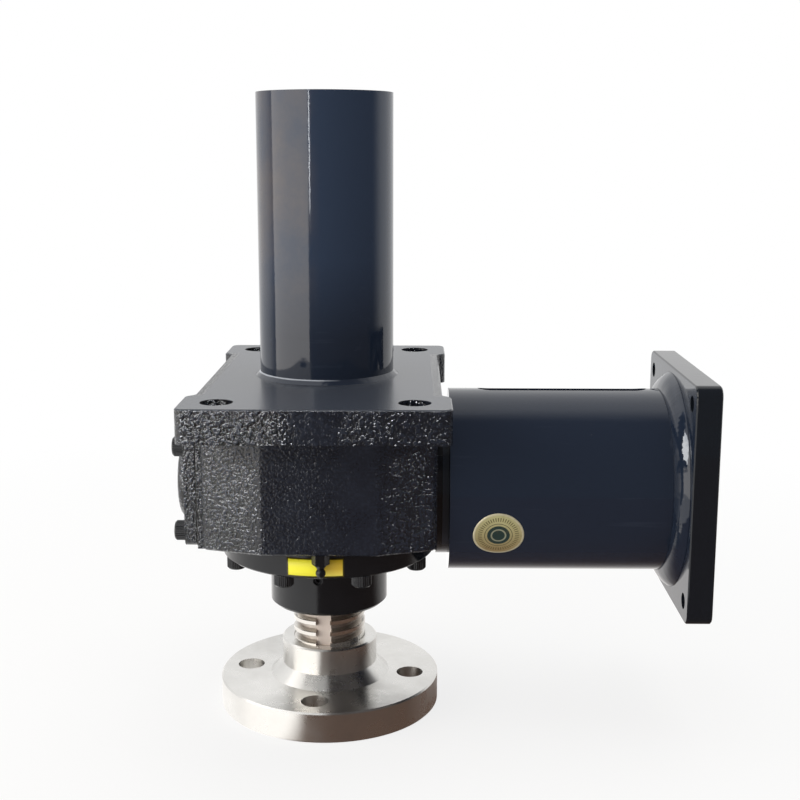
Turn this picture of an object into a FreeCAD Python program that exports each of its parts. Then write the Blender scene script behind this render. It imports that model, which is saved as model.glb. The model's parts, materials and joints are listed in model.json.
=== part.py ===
# Bevel gear screw jack. Millimetres, +Z up, +X towards the motor.
# The origin is on the lifting screw's axis, in the top face of the mounting flange.
import FreeCAD, Part
import math
import os

V = FreeCAD.Vector

# Mounting flange, part of the housing casting
FLANGE_X = 164.0
FLANGE_Y = 254.0
FLANGE_THICK = 21.5
FLANGE_CORNER = 6.0
FLANGE_EDGE = 0.8
WAIST_DEPTH = 5.5
WAIST_LENGTH = 160.0
MOUNT_EDGE_X = 22.5
MOUNT_EDGE_Y = 22.0
MOUNT_HOLE_D = 20.0

# Housing body under the flange
PORT_WALL = 4.0
RIGHT_LEDGE = 0.5
LEFT_LEDGE = 3.5
FRONT_LEDGE = 11.0
FACET_DEPTH = 12.5
FRONT_FACET = 74.0
BODY_ROUND = 5.0
BODY_EDGE = 1.2
CAVITY_ROOM = 3.0
ROOF_THICK = 18.0
ROOF_LIP = 8.0
ROOF_GAP = 1.5
SIDE_PAD_RIM = 1.0
SIDE_PAD_OUT = 3.0
PAD_RIGHT_RISE = 0.5

# Protection tube over the lifting screw
TUBE_R = 45.0
TUBE_WALL = 5.0
TUBE_HEIGHT = 185.5
TUBE_SEAT = 3.0
TUBE_CAP_THICK = 5.0
TUBE_WELD = 3.0

# Lifting screw with the stop on its upper end
SCREW_R = 25.0
SCREW_EDGE = 1.5
STUD_STEP = 7.0
STUD_SHORT = 2.5
SHOULDER_DEPTH = 13.0
KEYWAY_WIDTH = 10.0
KEYWAY_DEPTH = 4.5
KEYWAY_ANGLE = -97.0
TRAVEL_IN = 20.0
TRAVEL_SPARE = 2.5
STOP_GAP = 4.0
STOP_THICK = 8.0
STOP_BOLT_D = 12.0
STOP_BOLT_LENGTH = 30.0

# End flange on the lower end of the screw
HUB_GAP = 27.1
HUB_WALL = 8.0
HUB_HEIGHT = 18.3
CONE_FLARE = 8.5
CONE_HEIGHT = 7.9
END_FLANGE_R = 76.25
END_FLANGE_THICK = 20.8
END_HOLE_EDGE = 19.25
END_HOLE_D = 18.5
END_HOLE_COUNT = 4
END_HOLE_TURN = -6.6

# Bevel gear pair; the pinion lies on the input axis
MODULE = 3.0
PINION_TEETH = 14
GEAR_TEETH = 35
PRESSURE_ANGLE = 20.0
ADDENDUM_SHIFT = 0.3
ROOT_CLEARANCE = 0.2
BACKLASH = 0.3
TOOTH_RING = 1.0
GEAR_LAND = 1.05
GEAR_RIM = 2.9
PINION_RIM = 3.1
FLANK_STEPS = 3
CUTTER_OVER = 0.6
CUTTER_INSIDE = 0.93
CUTTER_OUTSIDE = 1.05

# Lifting nut
NUT_STEP = 3.5
NUT_NECK_WALL = 7.5
NUT_SHOULDER = 1.8
NUT_SHOULDER_HEIGHT = 1.0
NUT_FLANGE_RIM = 1.5
NUT_FLANGE_THICK = 5.0
GEAR_SCREW_D = 4.0
GEAR_SCREW_LAND = 0.7
GEAR_SCREW_LENGTH = 9.2
GEAR_SCREW_COUNT = 6
GEAR_KEY_WIDTH = 10.0
GEAR_KEY_LENGTH = 9.0
GEAR_KEY_IN = 4.0
GEAR_KEY_OUT = 2.8

# Taper roller bearings: bore radius, outer radius and width
UPPER_BEARING = (40.0, 55.0, 20.0)
LOWER_BEARING = (32.5, 45.0, 17.0)
SHAFT_BEARING = (10.0, 21.0, 15.0)
ROLLER_TILT = 14.0
ROLLER_SHARE = 0.4
ROLLER_LENGTH_SHARE = 0.72
UPPER_ROLLERS = 24
LOWER_ROLLERS = 22
SHAFT_ROLLERS = 12

# Shaft seals
SEAL_WALL = 2.0
SEAL_LIP = 3.0
UPPER_SEAL_DEPTH = 12.5
UPPER_SEAL_WIDTH = 8.0
INPUT_SEAL_WIDTH = 6.0

# Lower cover
SCREW_LAND = 9.0
COVER_RIM = 7.0
COVER_THICK = 19.0
COVER_FLOOR = 6.0
COVER_SPIGOT = 6.0
COVER_SCREW_COUNT = 8
COVER_SCREW_TURN = 22.5
GREASE_BORE_R = 1.5

# Guide collar under the cover, with bush, key and wiper
BUSH_WALL = 3.5
COLLAR_SPIGOT_WALL = 3.5
COLLAR_STEP = 8.5
COLLAR_LENGTH = 37.5
COLLAR_EDGE = 2.0
WIPER_STEP = 3.0
WIPER_WIDTH = 6.0
WIPER_LIP = 1.5
KEY_STAND = 9.0
KEY_LENGTH = 16.0
KEY_DROP = 4.5
COLLAR_SCREW_COUNT = 4
COLLAR_SCREW_D = 4.0
COLLAR_SCREW_LENGTH = 14.0

# Grease nipple
NIPPLE_GAP = 0.3
NIPPLE_HEX = 10.0
NIPPLE_HEX_HEIGHT = 7.0
NIPPLE_CONE_R = 4.4
NIPPLE_CONE_HEIGHT = 3.0
NIPPLE_STEM_R = 2.4
NIPPLE_BALL_R = 3.25
NIPPLE_LENGTH = 16.0
NIPPLE_THREAD_R = 4.0
NIPPLE_THREAD_LENGTH = 8.0

# Bearing carrier; its flange is the ring between casting and lantern
CARRIER_R = 51.3
CARRIER_THICK = 8.5
CARRIER_WALL = 5.0
SNOUT_WALL = 7.0
CARRIER_LIP = 3.0
BEARING_LAND = 1.0
BEARING_GAP = 19.0
SHAFT_SHOULDER = 4.0
SHAFT_SHOULDER_LENGTH = 3.0
SHAFT_END_STEP = 1.0
SHAFT_END_BACK = 4.0
LOCKNUT_WALL = 5.5
LOCKNUT_THICK = 6.0
LOCKNUT_SLOT = 4.4
LOCKNUT_SLOT_DEPTH = 2.0
LOCKNUT_SLOT_COUNT = 4

# Motor lantern
LANTERN_R = 62.0
LANTERN_WALL = 6.0
LANTERN_LENGTH = 151.5
BASE_THICK = 10.0
WINDOW_START = 20.0
WINDOW_BACK = 16.0
WINDOW_WIDTH = 20.0
WINDOW_TURN = 6.5
LANTERN_SCREW_Y = 36.0
LANTERN_SCREW_UP = 26.0
LANTERN_SCREW_DOWN = 18.0
WELD_RISE = 12.0
WELD_RUN = 8.5
WELD_CROWN = 1.0
PLATE_SIDE = 156.0
PLATE_THICK = 16.5
PLATE_EDGE = 0.8
PLATE_CORNER = 7.0
PILOT_LEDGE = 1.0
MOTOR_HOLE_EDGE = 13.0
MOTOR_HOLE_D = 10.5

# Coupling between input shaft and motor shaft
COUPLING_R = 29.0
COUPLING_BACK = 18.5
COUPLING_BODY = 26.0
COUPLING_JAW = 12.0
COUPLING_MOTOR_BODY = 30.0
JAW_COUNT = 3
JAW_ANGLE = 39.0
JAW_GAP = 1.0
SPIDER_ANGLE = 20.0
SPIDER_CORE_R = 12.0
SPIDER_BORE_R = 5.0
SPIDER_GAP = 0.3
MOTOR_SHAFT_R = 14.0
MOTOR_KEY_WIDTH = 8.0
MOTOR_KEY_DEPTH = 3.3
SHAFT_KEY = 6.0
SHAFT_KEY_START = 2.0
SHAFT_KEY_LENGTH = 22.0
SHAFT_KEY_RISE = 2.8
SET_SCREW_START = 10.0

# Left side cover over the second input port
LEFT_COVER_Y = 136.0
LEFT_COVER_Z = 71.0
LEFT_COVER_LIFT = 6.5
LEFT_COVER_THICK = 7.5
LEFT_BOSS_R = 28.0
LEFT_BOSS_OUT = 12.2
LEFT_BOSS_ROUND = 5.0
LEFT_SPIGOT_WALL = 6.0
LEFT_SPIGOT = 8.0
LEFT_SCREW_EDGE_Y = 12.0
LEFT_SCREW_EDGE_Z = 7.5
GASKET = 0.8
GASKET_EDGE = 1.0

# Screws: those into the casting, grub screws and countersunk screws
CASE_SCREW_D = 8.0
CASE_SCREW_GRIP = 14.0
TAP_SPARE = 2.0
HEAD_SHARE = 0.75
HEAD_EXTRA = 0.5
HEAD_BEVEL_SHARE = 0.08
SOCKET_SHARE = 0.75
SOCKET_DEPTH_SHARE = 0.6
GRUB_D = 6.0
GRUB_KEY = 3.0
GRUB_SOCKET = 2.5
GRUB_SINK = 1.5
GRUB_BITE = 2.0
COUNTERSUNK_KEY = 2.5
COUNTERSUNK_SOCKET = 1.6

# Fits
SLIDE_FIT = 0.06
SEAT_FIT = 0.02
BOLT_CLEARANCE = 0.5
RUN_GAP = 1.0
SMALL_EDGE = 1.0
OVER = 1.0


def bevel_cone(teeth, mate_teeth):
    """Pitch angle and cone distance of a bevel gear."""
    pitch = math.atan2(teeth, mate_teeth)
    return pitch, MODULE * teeth / 2 / math.sin(pitch)


def cone_corner(teeth, mate_teeth, height, scale=1.0):
    """Radius and axial place of a point on the back cone, measured from the apex."""
    pitch, distance = bevel_cone(teeth, mate_teeth)
    radius = distance * math.sin(pitch) + height * math.cos(pitch)
    axial = distance * math.cos(pitch) - height * math.sin(pitch)
    return scale * radius, scale * axial


def tooth_foot(shift):
    """Depth of the tooth ring under the pitch cone, with the metal under the tooth roots."""
    return MODULE * (1 + ROOT_CLEARANCE - shift) + TOOTH_RING


# Places and sizes that follow from those above
MOUNT_HOLE_X = FLANGE_X - 2 * MOUNT_EDGE_X
MOUNT_HOLE_Y = FLANGE_Y - 2 * MOUNT_EDGE_Y
FLANGE_BOTTOM = -FLANGE_THICK
UPPER_SEAT = -ROOF_THICK
UPPER_LOW = UPPER_SEAT - UPPER_BEARING[2]

NUT_R = LOWER_BEARING[0] + NUT_STEP
NUT_NECK_R = SCREW_R + NUT_NECK_WALL
NUT_SHOULDER_R = UPPER_BEARING[0] + NUT_SHOULDER
NUT_FLANGE_R = MODULE * GEAR_TEETH / 2 + NUT_FLANGE_RIM
NUT_FLANGE_TOP = UPPER_LOW - NUT_SHOULDER_HEIGHT
GEAR_SCREW_CIRCLE = NUT_SHOULDER_R + GEAR_SCREW_D + GEAR_SCREW_LAND
UPPER_SEAL_R = NUT_NECK_R + UPPER_SEAL_DEPTH

GEAR_ROOT = cone_corner(GEAR_TEETH, PINION_TEETH, -tooth_foot(-ADDENDUM_SHIFT))
PINION_ROOT = cone_corner(PINION_TEETH, GEAR_TEETH, -tooth_foot(ADDENDUM_SHIFT))
TOOTH_START = (NUT_R + SEAT_FIT + GEAR_LAND) / GEAR_ROOT[0]
GEAR_BACK = NUT_FLANGE_TOP - NUT_FLANGE_THICK
INPUT_Z = GEAR_BACK - GEAR_ROOT[1] - GEAR_RIM
PINION_BACK = PINION_ROOT[1] + PINION_RIM

CARRIER_SPIGOT_R = SHAFT_BEARING[1] + CARRIER_WALL
CARRIER_SNOUT_R = SHAFT_BEARING[1] + SNOUT_WALL
BODY_BOTTOM = INPUT_Z - CARRIER_SPIGOT_R - PORT_WALL
CAVITY_R = NUT_FLANGE_R + CAVITY_ROOM
COVER_SCREW_CIRCLE = CAVITY_R + SCREW_LAND
COVER_R = COVER_SCREW_CIRCLE + COVER_RIM
COVER_BOTTOM = BODY_BOTTOM - COVER_THICK
COVER_POCKET = COVER_BOTTOM + COVER_FLOOR
BODY_RIGHT = COVER_R + RIGHT_LEDGE
BODY_LEFT = -(COVER_R + LEFT_LEDGE)
BODY_FRONT = COVER_R + FRONT_LEDGE
BODY_SHOULDER = BODY_FRONT - FACET_DEPTH
SIDE_PAD_HALF = LEFT_COVER_Y / 2 + SIDE_PAD_RIM
PAD_LEFT = BODY_LEFT - SIDE_PAD_OUT
PAD_RIGHT = BODY_RIGHT + PAD_RIGHT_RISE
NIPPLE_Y = COVER_R + NIPPLE_GAP + NIPPLE_HEX / 2

BUSH_R = SCREW_R + BUSH_WALL
COLLAR_SPIGOT_R = BUSH_R + COLLAR_SPIGOT_WALL
COLLAR_R = COLLAR_SPIGOT_R + COLLAR_STEP
COLLAR_BOTTOM = COVER_BOTTOM - COLLAR_LENGTH
WIPER_R = BUSH_R + WIPER_STEP
KEY_OUT = SCREW_R + KEY_STAND
KEY_TOP = COVER_BOTTOM - KEY_DROP
KEY_MIDDLE = KEY_TOP - KEY_LENGTH / 2

SCREW_STUD_R = SCREW_R - STUD_STEP
STOP_R = TUBE_R - TUBE_WALL - STOP_GAP
SCREW_TOP = TUBE_HEIGHT - TUBE_CAP_THICK - TRAVEL_SPARE - TRAVEL_IN - STOP_BOLT_D - STOP_THICK
HUB_R = SCREW_R + HUB_WALL
HUB_TOP = COLLAR_BOTTOM - HUB_GAP
CONE_R = HUB_R + CONE_FLARE
CONE_TOP = HUB_TOP - HUB_HEIGHT
PLATE_TOP = CONE_TOP - CONE_HEIGHT
END_FACE = PLATE_TOP - END_FLANGE_THICK
LOCK_START = SCREW_R - GRUB_BITE
LOCK_Z = HUB_TOP - SHOULDER_DEPTH / 2

BEARING_START = PINION_BACK + SHAFT_SHOULDER_LENGTH
BEARING_END = BEARING_START + 2 * SHAFT_BEARING[2] + BEARING_GAP
CARRIER_END = BEARING_END + LOCKNUT_THICK + RUN_GAP + INPUT_SEAL_WIDTH
CARRIER_FACE = PAD_RIGHT + CARRIER_THICK
PLATE_FACE = CARRIER_FACE + LANTERN_LENGTH
PILOT_R = LANTERN_R - LANTERN_WALL - PILOT_LEDGE
COUPLING_END = PLATE_FACE - COUPLING_BACK
JAW_END = COUPLING_END - COUPLING_MOTOR_BODY
JAW_START = JAW_END - COUPLING_JAW
COUPLING_START = JAW_START - COUPLING_BODY
SHAFT_END_R = SHAFT_BEARING[0] - SHAFT_END_STEP
LEFT_FACE = PAD_LEFT - GASKET
LEFT_OUTER = LEFT_FACE - LEFT_COVER_THICK
LEFT_COVER_MIDDLE = INPUT_Z + LEFT_COVER_LIFT


def save(shape, node):
    """Write one node as a STEP file."""
    os.makedirs("parts", exist_ok=True)
    shape.exportStep("parts/" + node + ".step")


def disc_z(radius, low, high, x=0.0, y=0.0):
    return Part.makeCylinder(radius, high - low, V(x, y, low))


def ring_z(inner, outer, low, high):
    return disc_z(outer, low, high).cut(disc_z(inner, low, high))


def disc_x(radius, start, end, y=0.0, z=INPUT_Z):
    return Part.makeCylinder(radius, end - start, V(start, y, z), V(1, 0, 0))


def ring_x(inner, outer, start, end):
    return disc_x(outer, start, end).cut(disc_x(inner, start, end))


def turned_z(profile):
    """A turned piece about the screw axis from (radius, height) points."""
    points = [V(r, 0, z) for r, z in profile]
    face = Part.Face(Part.makePolygon(points + points[:1]))
    return face.revolve(V(0, 0, 0), V(0, 0, 1), 360)


def turned_x(profile):
    """A turned piece about the input axis from (place along X, radius) points."""
    points = [V(x, 0, INPUT_Z + r) for x, r in profile]
    face = Part.Face(Part.makePolygon(points + points[:1]))
    return face.revolve(V(0, 0, INPUT_Z), V(1, 0, 0), 360)


def box_between(low, high):
    return Part.makeBox(high[0] - low[0], high[1] - low[1], high[2] - low[2], V(*low))


def prism(points, low, high):
    face = Part.Face(Part.makePolygon(points + points[:1]))
    face.translate(V(0, 0, low))
    return face.extrude(V(0, 0, high - low))


def upright_edges(shape):
    """Straight edges that run along Z."""
    found = []
    for edge in shape.Edges:
        ends = [vertex.Point for vertex in edge.Vertexes]
        if len(ends) == 2 and abs(ends[0].x - ends[1].x) + abs(ends[0].y - ends[1].y) < 1e-6:
            found.append(edge)
    return found


def aimed(shape, place, direction):
    """Move a piece that was built on +Z to a place and turn its +Z to a direction."""
    moved = shape.copy()
    turn = FreeCAD.Rotation(V(0, 0, 1), V(*direction))
    moved.Placement = FreeCAD.Placement(V(*place), turn).multiply(moved.Placement)
    return moved


def turned(shape, degrees, axis=(0, 0, 1), centre=(0, 0, 0)):
    moved = shape.copy()
    moved.rotate(V(*centre), V(*axis), degrees)
    return moved


def polar(radius, degrees, height=0.0):
    angle = math.radians(degrees)
    return (radius * math.cos(angle), radius * math.sin(angle), height)


def hexagon(flat_width, low, high):
    corner = flat_width / math.sqrt(3)
    points = [V(*polar(corner, 60 * k)) for k in range(6)]
    return prism(points, low, high)


def socket_screw(size, length):
    """Socket head screw: seat at z = 0, head up, shank down."""
    head_r = HEAD_SHARE * size + HEAD_EXTRA
    bevel = HEAD_BEVEL_SHARE * size
    profile = [(0, -length), (size / 2, -length), (size / 2, 0), (head_r, 0)]
    profile += [(head_r, size - bevel), (head_r - bevel, size), (0, size)]
    socket = hexagon(SOCKET_SHARE * size, size - SOCKET_DEPTH_SHARE * size, size + OVER)
    return turned_z(profile).cut(socket)


def grub_screw(start, end):
    """Grub screw about +Z with its socket in the far end."""
    body = disc_z(GRUB_D / 2, start, end)
    return body.cut(hexagon(GRUB_KEY, end - GRUB_SOCKET, end + OVER))


def countersunk(size, length, extra=0.0):
    """Countersunk screw with its flat top at z = 0, or with extra its hole."""
    shank, head = size / 2 + extra, size + extra
    return turned_z([(0, -length), (shank, -length), (shank, -size / 2), (head, 0), (0, 0)])


def socketed(screw):
    return screw.cut(hexagon(COUNTERSUNK_KEY, -COUNTERSUNK_SOCKET, OVER))


def screws_at(places, direction, size, length):
    return Part.makeCompound([aimed(socket_screw(size, length), p, direction) for p in places])


def holes_at(places, direction, radius, depth):
    """Drill cutters that start at each place and run against the direction."""
    drill = Part.makeCylinder(radius, depth, V(0, 0, -depth))
    return Part.makeCompound([aimed(drill, place, direction) for place in places])


def involute(angle):
    return math.tan(angle) - angle


def tooth_space(teeth, mate_teeth, shift):
    """Cutter for one tooth space, apex at the origin, gear axis on +Z.

    The flanks are involutes of the equivalent spur gear on the back cone,
    and the cutter tapers towards the apex."""
    pitch, distance = bevel_cone(teeth, mate_teeth)
    virtual_r = MODULE * teeth / 2 / math.cos(pitch)
    virtual_teeth = teeth / math.cos(pitch)
    pressure = math.radians(PRESSURE_ANGLE)
    base_r = virtual_r * math.cos(pressure)
    root_r = virtual_r - MODULE * (1 + ROOT_CLEARANCE - shift)
    tip_r = virtual_r + MODULE * (1 + shift)
    tooth_half = (math.pi / 2 + 2 * shift * math.tan(pressure)) / virtual_teeth

    def space_half(radius):
        held = max(radius, base_r)
        flank = involute(pressure) - involute(math.acos(base_r / held))
        return math.pi / virtual_teeth - tooth_half - flank + BACKLASH / 2 / virtual_r

    lowest = max(root_r, base_r)
    radii = [lowest + (tip_r - lowest) * k / FLANK_STEPS for k in range(FLANK_STEPS + 1)]
    if root_r < base_r:
        radii.insert(0, root_r)
    flank = [(r * math.sin(space_half(r)), r * math.cos(space_half(r))) for r in radii]
    over = tip_r + CUTTER_OVER * MODULE
    flank.append((over * math.sin(space_half(tip_r)), over * math.cos(space_half(tip_r))))
    outline = flank + [(-s, h) for s, h in reversed(flank)]

    along = V(math.sin(pitch), 0, math.cos(pitch))
    outward = V(math.cos(pitch), 0, -math.sin(pitch))
    across = V(0, 1, 0)

    def section(scale):
        points = []
        for side, height in outline:
            point = along * distance + outward * (height - virtual_r) + across * side
            points.append(point * scale)
        return Part.makePolygon(points + points[:1])

    return Part.makeLoft([section(TOOTH_START * CUTTER_INSIDE), section(CUTTER_OUTSIDE)], True, True)


def cone_points(teeth, mate_teeth, shift):
    """Corners of the tooth ring as (radius, place along the axis) from the apex."""
    add, foot = MODULE * (1 + shift), tooth_foot(shift)
    sizes = (teeth, mate_teeth)
    return {"tip": cone_corner(*sizes, add), "root": cone_corner(*sizes, -foot),
            "inner_tip": cone_corner(*sizes, add, TOOTH_START),
            "inner_root": cone_corner(*sizes, -foot, TOOTH_START)}


def cut_teeth(blank, cutter, teeth):
    cutters = [turned(cutter, 360.0 * k / teeth) for k in range(teeth)]
    return blank.cut(cutters)


def bevel_gear():
    """Crown gear on the lifting nut, teeth down; its apex is on the input axis."""
    cone = cone_points(GEAR_TEETH, PINION_TEETH, -ADDENDUM_SHIFT)
    back = GEAR_BACK - INPUT_Z
    bore = NUT_R + SEAT_FIT
    profile = [(bore, back), (cone["root"][0], back), cone["root"], cone["tip"]]
    profile += [cone["inner_tip"], cone["inner_root"], (bore, cone["inner_root"][1])]
    blank = turned_z(profile)
    gear = cut_teeth(blank, tooth_space(GEAR_TEETH, PINION_TEETH, -ADDENDUM_SHIFT), GEAR_TEETH)
    gear.translate(V(0, 0, INPUT_Z))
    return gear.cut(gear_key(SEAT_FIT)).cut(gear_screw_holes())


def pinion_shaft():
    """Bevel pinion and input shaft in one piece."""
    cone = cone_points(PINION_TEETH, GEAR_TEETH, ADDENDUM_SHIFT)
    shoulder = SHAFT_BEARING[0] + SHAFT_SHOULDER
    journal = SHAFT_BEARING[0] - SEAT_FIT
    end = JAW_START - SHAFT_END_BACK
    profile = [(0, cone["inner_root"][1]), cone["inner_root"], cone["inner_tip"], cone["tip"]]
    profile += [cone["root"], (shoulder, PINION_BACK), (shoulder, BEARING_START)]
    profile += [(journal, BEARING_START), (journal, CARRIER_END)]
    profile += [(SHAFT_END_R, CARRIER_END), (SHAFT_END_R, end), (0, end)]
    blank = turned_z(profile)
    cutter = tooth_space(PINION_TEETH, GEAR_TEETH, ADDENDUM_SHIFT)
    pinion = cut_teeth(blank, cutter, PINION_TEETH)
    pinion = turned(pinion, 180.0 / PINION_TEETH)
    pinion = aimed(pinion, (0, 0, INPUT_Z), (1, 0, 0))
    return pinion.cut(shaft_key(SEAT_FIT))


def shaft_key(extra=0.0):
    """Parallel key between the input shaft and its coupling half."""
    start = COUPLING_START + SHAFT_KEY_START
    half = SHAFT_KEY / 2 + extra
    bottom = SHAFT_END_R - (SHAFT_KEY - SHAFT_KEY_RISE) - extra
    top = SHAFT_END_R + SHAFT_KEY_RISE + extra
    low = (start - extra, -half, INPUT_Z + bottom)
    high = (start + SHAFT_KEY_LENGTH + extra, half, INPUT_Z + top)
    return box_between(low, high)


def bearing(sizes, roller_count):
    """Taper roller bearing about +Z, from z = 0 up, wide end of its raceways on top.

    Gives the outer ring, the inner ring and the rollers."""
    inner_r, outer_r, width = sizes
    tilt = math.radians(ROLLER_TILT)
    middle = (inner_r + outer_r) / 2
    roller_r = ROLLER_SHARE * (outer_r - inner_r) / 2
    offset = (roller_r + SEAT_FIT) / math.cos(tilt)
    lean = width / 2 * math.tan(tilt)
    outer = turned_z([(outer_r, 0), (outer_r, width), (middle + lean + offset, width),
                      (middle - lean + offset, 0)])
    inner = turned_z([(inner_r, 0), (middle - lean - offset, 0), (middle + lean - offset, width),
                      (inner_r, width)])
    length = ROLLER_LENGTH_SHARE * width
    roller = Part.makeCylinder(roller_r, length, V(0, 0, -length / 2))
    roller = aimed(roller, (middle, 0, width / 2), (math.sin(tilt), 0, math.cos(tilt)))
    rollers = [turned(roller, 360.0 * k / roller_count) for k in range(roller_count)]
    return outer, inner, Part.makeCompound(rollers)


def mount_places():
    x, y = MOUNT_HOLE_X / 2, MOUNT_HOLE_Y / 2
    return [(sx * x, sy * y, 0) for sx in (-1, 1) for sy in (-1, 1)]


def cover_screw_places(height):
    step = 360.0 / COVER_SCREW_COUNT
    return [polar(COVER_SCREW_CIRCLE, COVER_SCREW_TURN + step * k, height)
            for k in range(COVER_SCREW_COUNT)]


def lantern_screw_places(x):
    heights = (LANTERN_SCREW_UP, -LANTERN_SCREW_DOWN)
    return [(x, sy * LANTERN_SCREW_Y, INPUT_Z + h) for sy in (-1, 1) for h in heights]


def left_screw_places(x):
    y = LEFT_COVER_Y / 2 - LEFT_SCREW_EDGE_Y
    z = LEFT_COVER_Z / 2 - LEFT_SCREW_EDGE_Z
    return [(x, sy * y, LEFT_COVER_MIDDLE + sz * z) for sy in (-1, 1) for sz in (-1, 1)]


def mounting_flange():
    x, y = FLANGE_X / 2, FLANGE_Y / 2
    inner, waist = x - WAIST_DEPTH, WAIST_LENGTH / 2
    lug = WAIST_DEPTH
    side = [(x, -waist - lug), (inner, -waist), (inner, waist), (x, waist + lug), (x, y)]
    other = [(-px, py) for px, py in reversed(side)]
    points = [V(px, py, 0) for px, py in [(x, -y)] + side + other + [(-x, -y)]]
    flange = prism(points, FLANGE_BOTTOM, 0)
    flange = flange.makeFillet(FLANGE_CORNER, upright_edges(flange))
    return flange.makeChamfer(FLANGE_EDGE, [e for e in flange.Edges if e.BoundBox.ZMin > -1e-6])


def housing_body():
    facet = FRONT_FACET / 2
    half = [(BODY_LEFT, -BODY_SHOULDER), (-facet, -BODY_FRONT), (facet, -BODY_FRONT),
            (BODY_RIGHT, -BODY_SHOULDER)]
    outline = half + [(px, -py) for px, py in reversed(half)]
    body = prism([V(px, py, 0) for px, py in outline], BODY_BOTTOM, FLANGE_BOTTOM)
    body = body.makeFillet(BODY_ROUND, upright_edges(body))
    low = [e for e in body.Edges if abs(e.BoundBox.ZMax - BODY_BOTTOM) < 1e-6]
    return body.makeChamfer(BODY_EDGE, low)


def housing():
    """Casting: mounting flange, gear case, bearing seats and side ports."""
    body = housing_body().fuse(mounting_flange())
    inside = BODY_EDGE + OVER
    for start, end in ((PAD_LEFT, BODY_LEFT + inside), (BODY_RIGHT - inside, PAD_RIGHT)):
        pad = box_between((start, -SIDE_PAD_HALF, BODY_BOTTOM), (end, SIDE_PAD_HALF, FLANGE_BOTTOM))
        body = body.fuse(pad)
    hollow = disc_z(CAVITY_R, BODY_BOTTOM - OVER, UPPER_LOW)
    seat = disc_z(UPPER_BEARING[1] + SEAT_FIT, UPPER_LOW - OVER, UPPER_SEAT)
    seal = disc_z(UPPER_SEAL_R + SEAT_FIT, UPPER_SEAT - OVER, -ROOF_LIP)
    top = disc_z(NUT_NECK_R + ROOF_GAP, -ROOF_LIP - OVER, OVER)
    tube_seat = disc_z(TUBE_R + TUBE_WELD + SEAT_FIT, -TUBE_SEAT, OVER)
    right = disc_x(CARRIER_SPIGOT_R + SEAT_FIT, 0, PAD_RIGHT + OVER)
    left = disc_x(CARRIER_SPIGOT_R, PAD_LEFT - OVER, 0)
    for cutter in (hollow, seat, seal, top, tube_seat, right, left):
        body = body.cut(cutter)
    body = body.cut(holes_at(mount_places(), (0, 0, 1), MOUNT_HOLE_D / 2, FLANGE_THICK))
    tap, depth = CASE_SCREW_D / 2 + SEAT_FIT, CASE_SCREW_GRIP + TAP_SPARE
    body = body.cut(holes_at(cover_screw_places(BODY_BOTTOM), (0, 0, -1), tap, depth))
    body = body.cut(holes_at(lantern_screw_places(PAD_RIGHT), (1, 0, 0), tap, depth))
    body = body.cut(holes_at(left_screw_places(PAD_LEFT), (-1, 0, 0), tap, depth))
    return body.cut(grease_way()).removeSplitter()


def grease_way():
    """Tapped hole of the nipple in the case's underside, and the bore from it to the gears."""
    top = BODY_BOTTOM + NIPPLE_THREAD_LENGTH + 2 * GREASE_BORE_R + RUN_GAP
    tapped = disc_z(NIPPLE_THREAD_R + SEAT_FIT, BODY_BOTTOM - OVER, top, 0, -NIPPLE_Y)
    start = V(0, -NIPPLE_Y, top - GREASE_BORE_R)
    return tapped.fuse(Part.makeCylinder(GREASE_BORE_R, NIPPLE_Y - CAVITY_R / 2, start, V(0, 1, 0)))


def protection_tube():
    """Tube that stands in a seat turned into the mounting face."""
    return ring_z(TUBE_R - TUBE_WALL, TUBE_R, -TUBE_SEAT, TUBE_HEIGHT)


def tube_weld():
    outer = TUBE_R + TUBE_WELD
    return turned_z([(TUBE_R, -TUBE_SEAT), (outer, -TUBE_SEAT), (outer, 0), (TUBE_R, TUBE_WELD)])


def tube_cap():
    return disc_z(TUBE_R - TUBE_WALL, TUBE_HEIGHT - TUBE_CAP_THICK, TUBE_HEIGHT)


def through_holes(places, direction, depth):
    return holes_at(places, direction, CASE_SCREW_D / 2 + BOLT_CLEARANCE, depth)


def lower_cover():
    """Round cover that carries the lower bearing and the guide collar."""
    spigot_r = CAVITY_R - SLIDE_FIT
    pocket_r = LOWER_BEARING[1] + SEAT_FIT
    top = BODY_BOTTOM + COVER_SPIGOT
    hole_r = COLLAR_SPIGOT_R + SEAT_FIT
    edge = SMALL_EDGE
    profile = [(hole_r, COVER_BOTTOM), (COVER_R - edge, COVER_BOTTOM), (COVER_R, COVER_BOTTOM + edge)]
    profile += [(COVER_R, BODY_BOTTOM), (spigot_r, BODY_BOTTOM), (spigot_r, top), (pocket_r, top)]
    profile += [(pocket_r, COVER_POCKET), (hole_r, COVER_POCKET)]
    cover = turned_z(profile)
    carrier_path = disc_x(CARRIER_SPIGOT_R + RUN_GAP, 0, PAD_RIGHT)
    cover = cover.cut(carrier_path)
    cover = cover.cut(through_holes(cover_screw_places(BODY_BOTTOM), (0, 0, 1), COVER_THICK))
    return cover.cut(collar_screw_holes())


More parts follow.
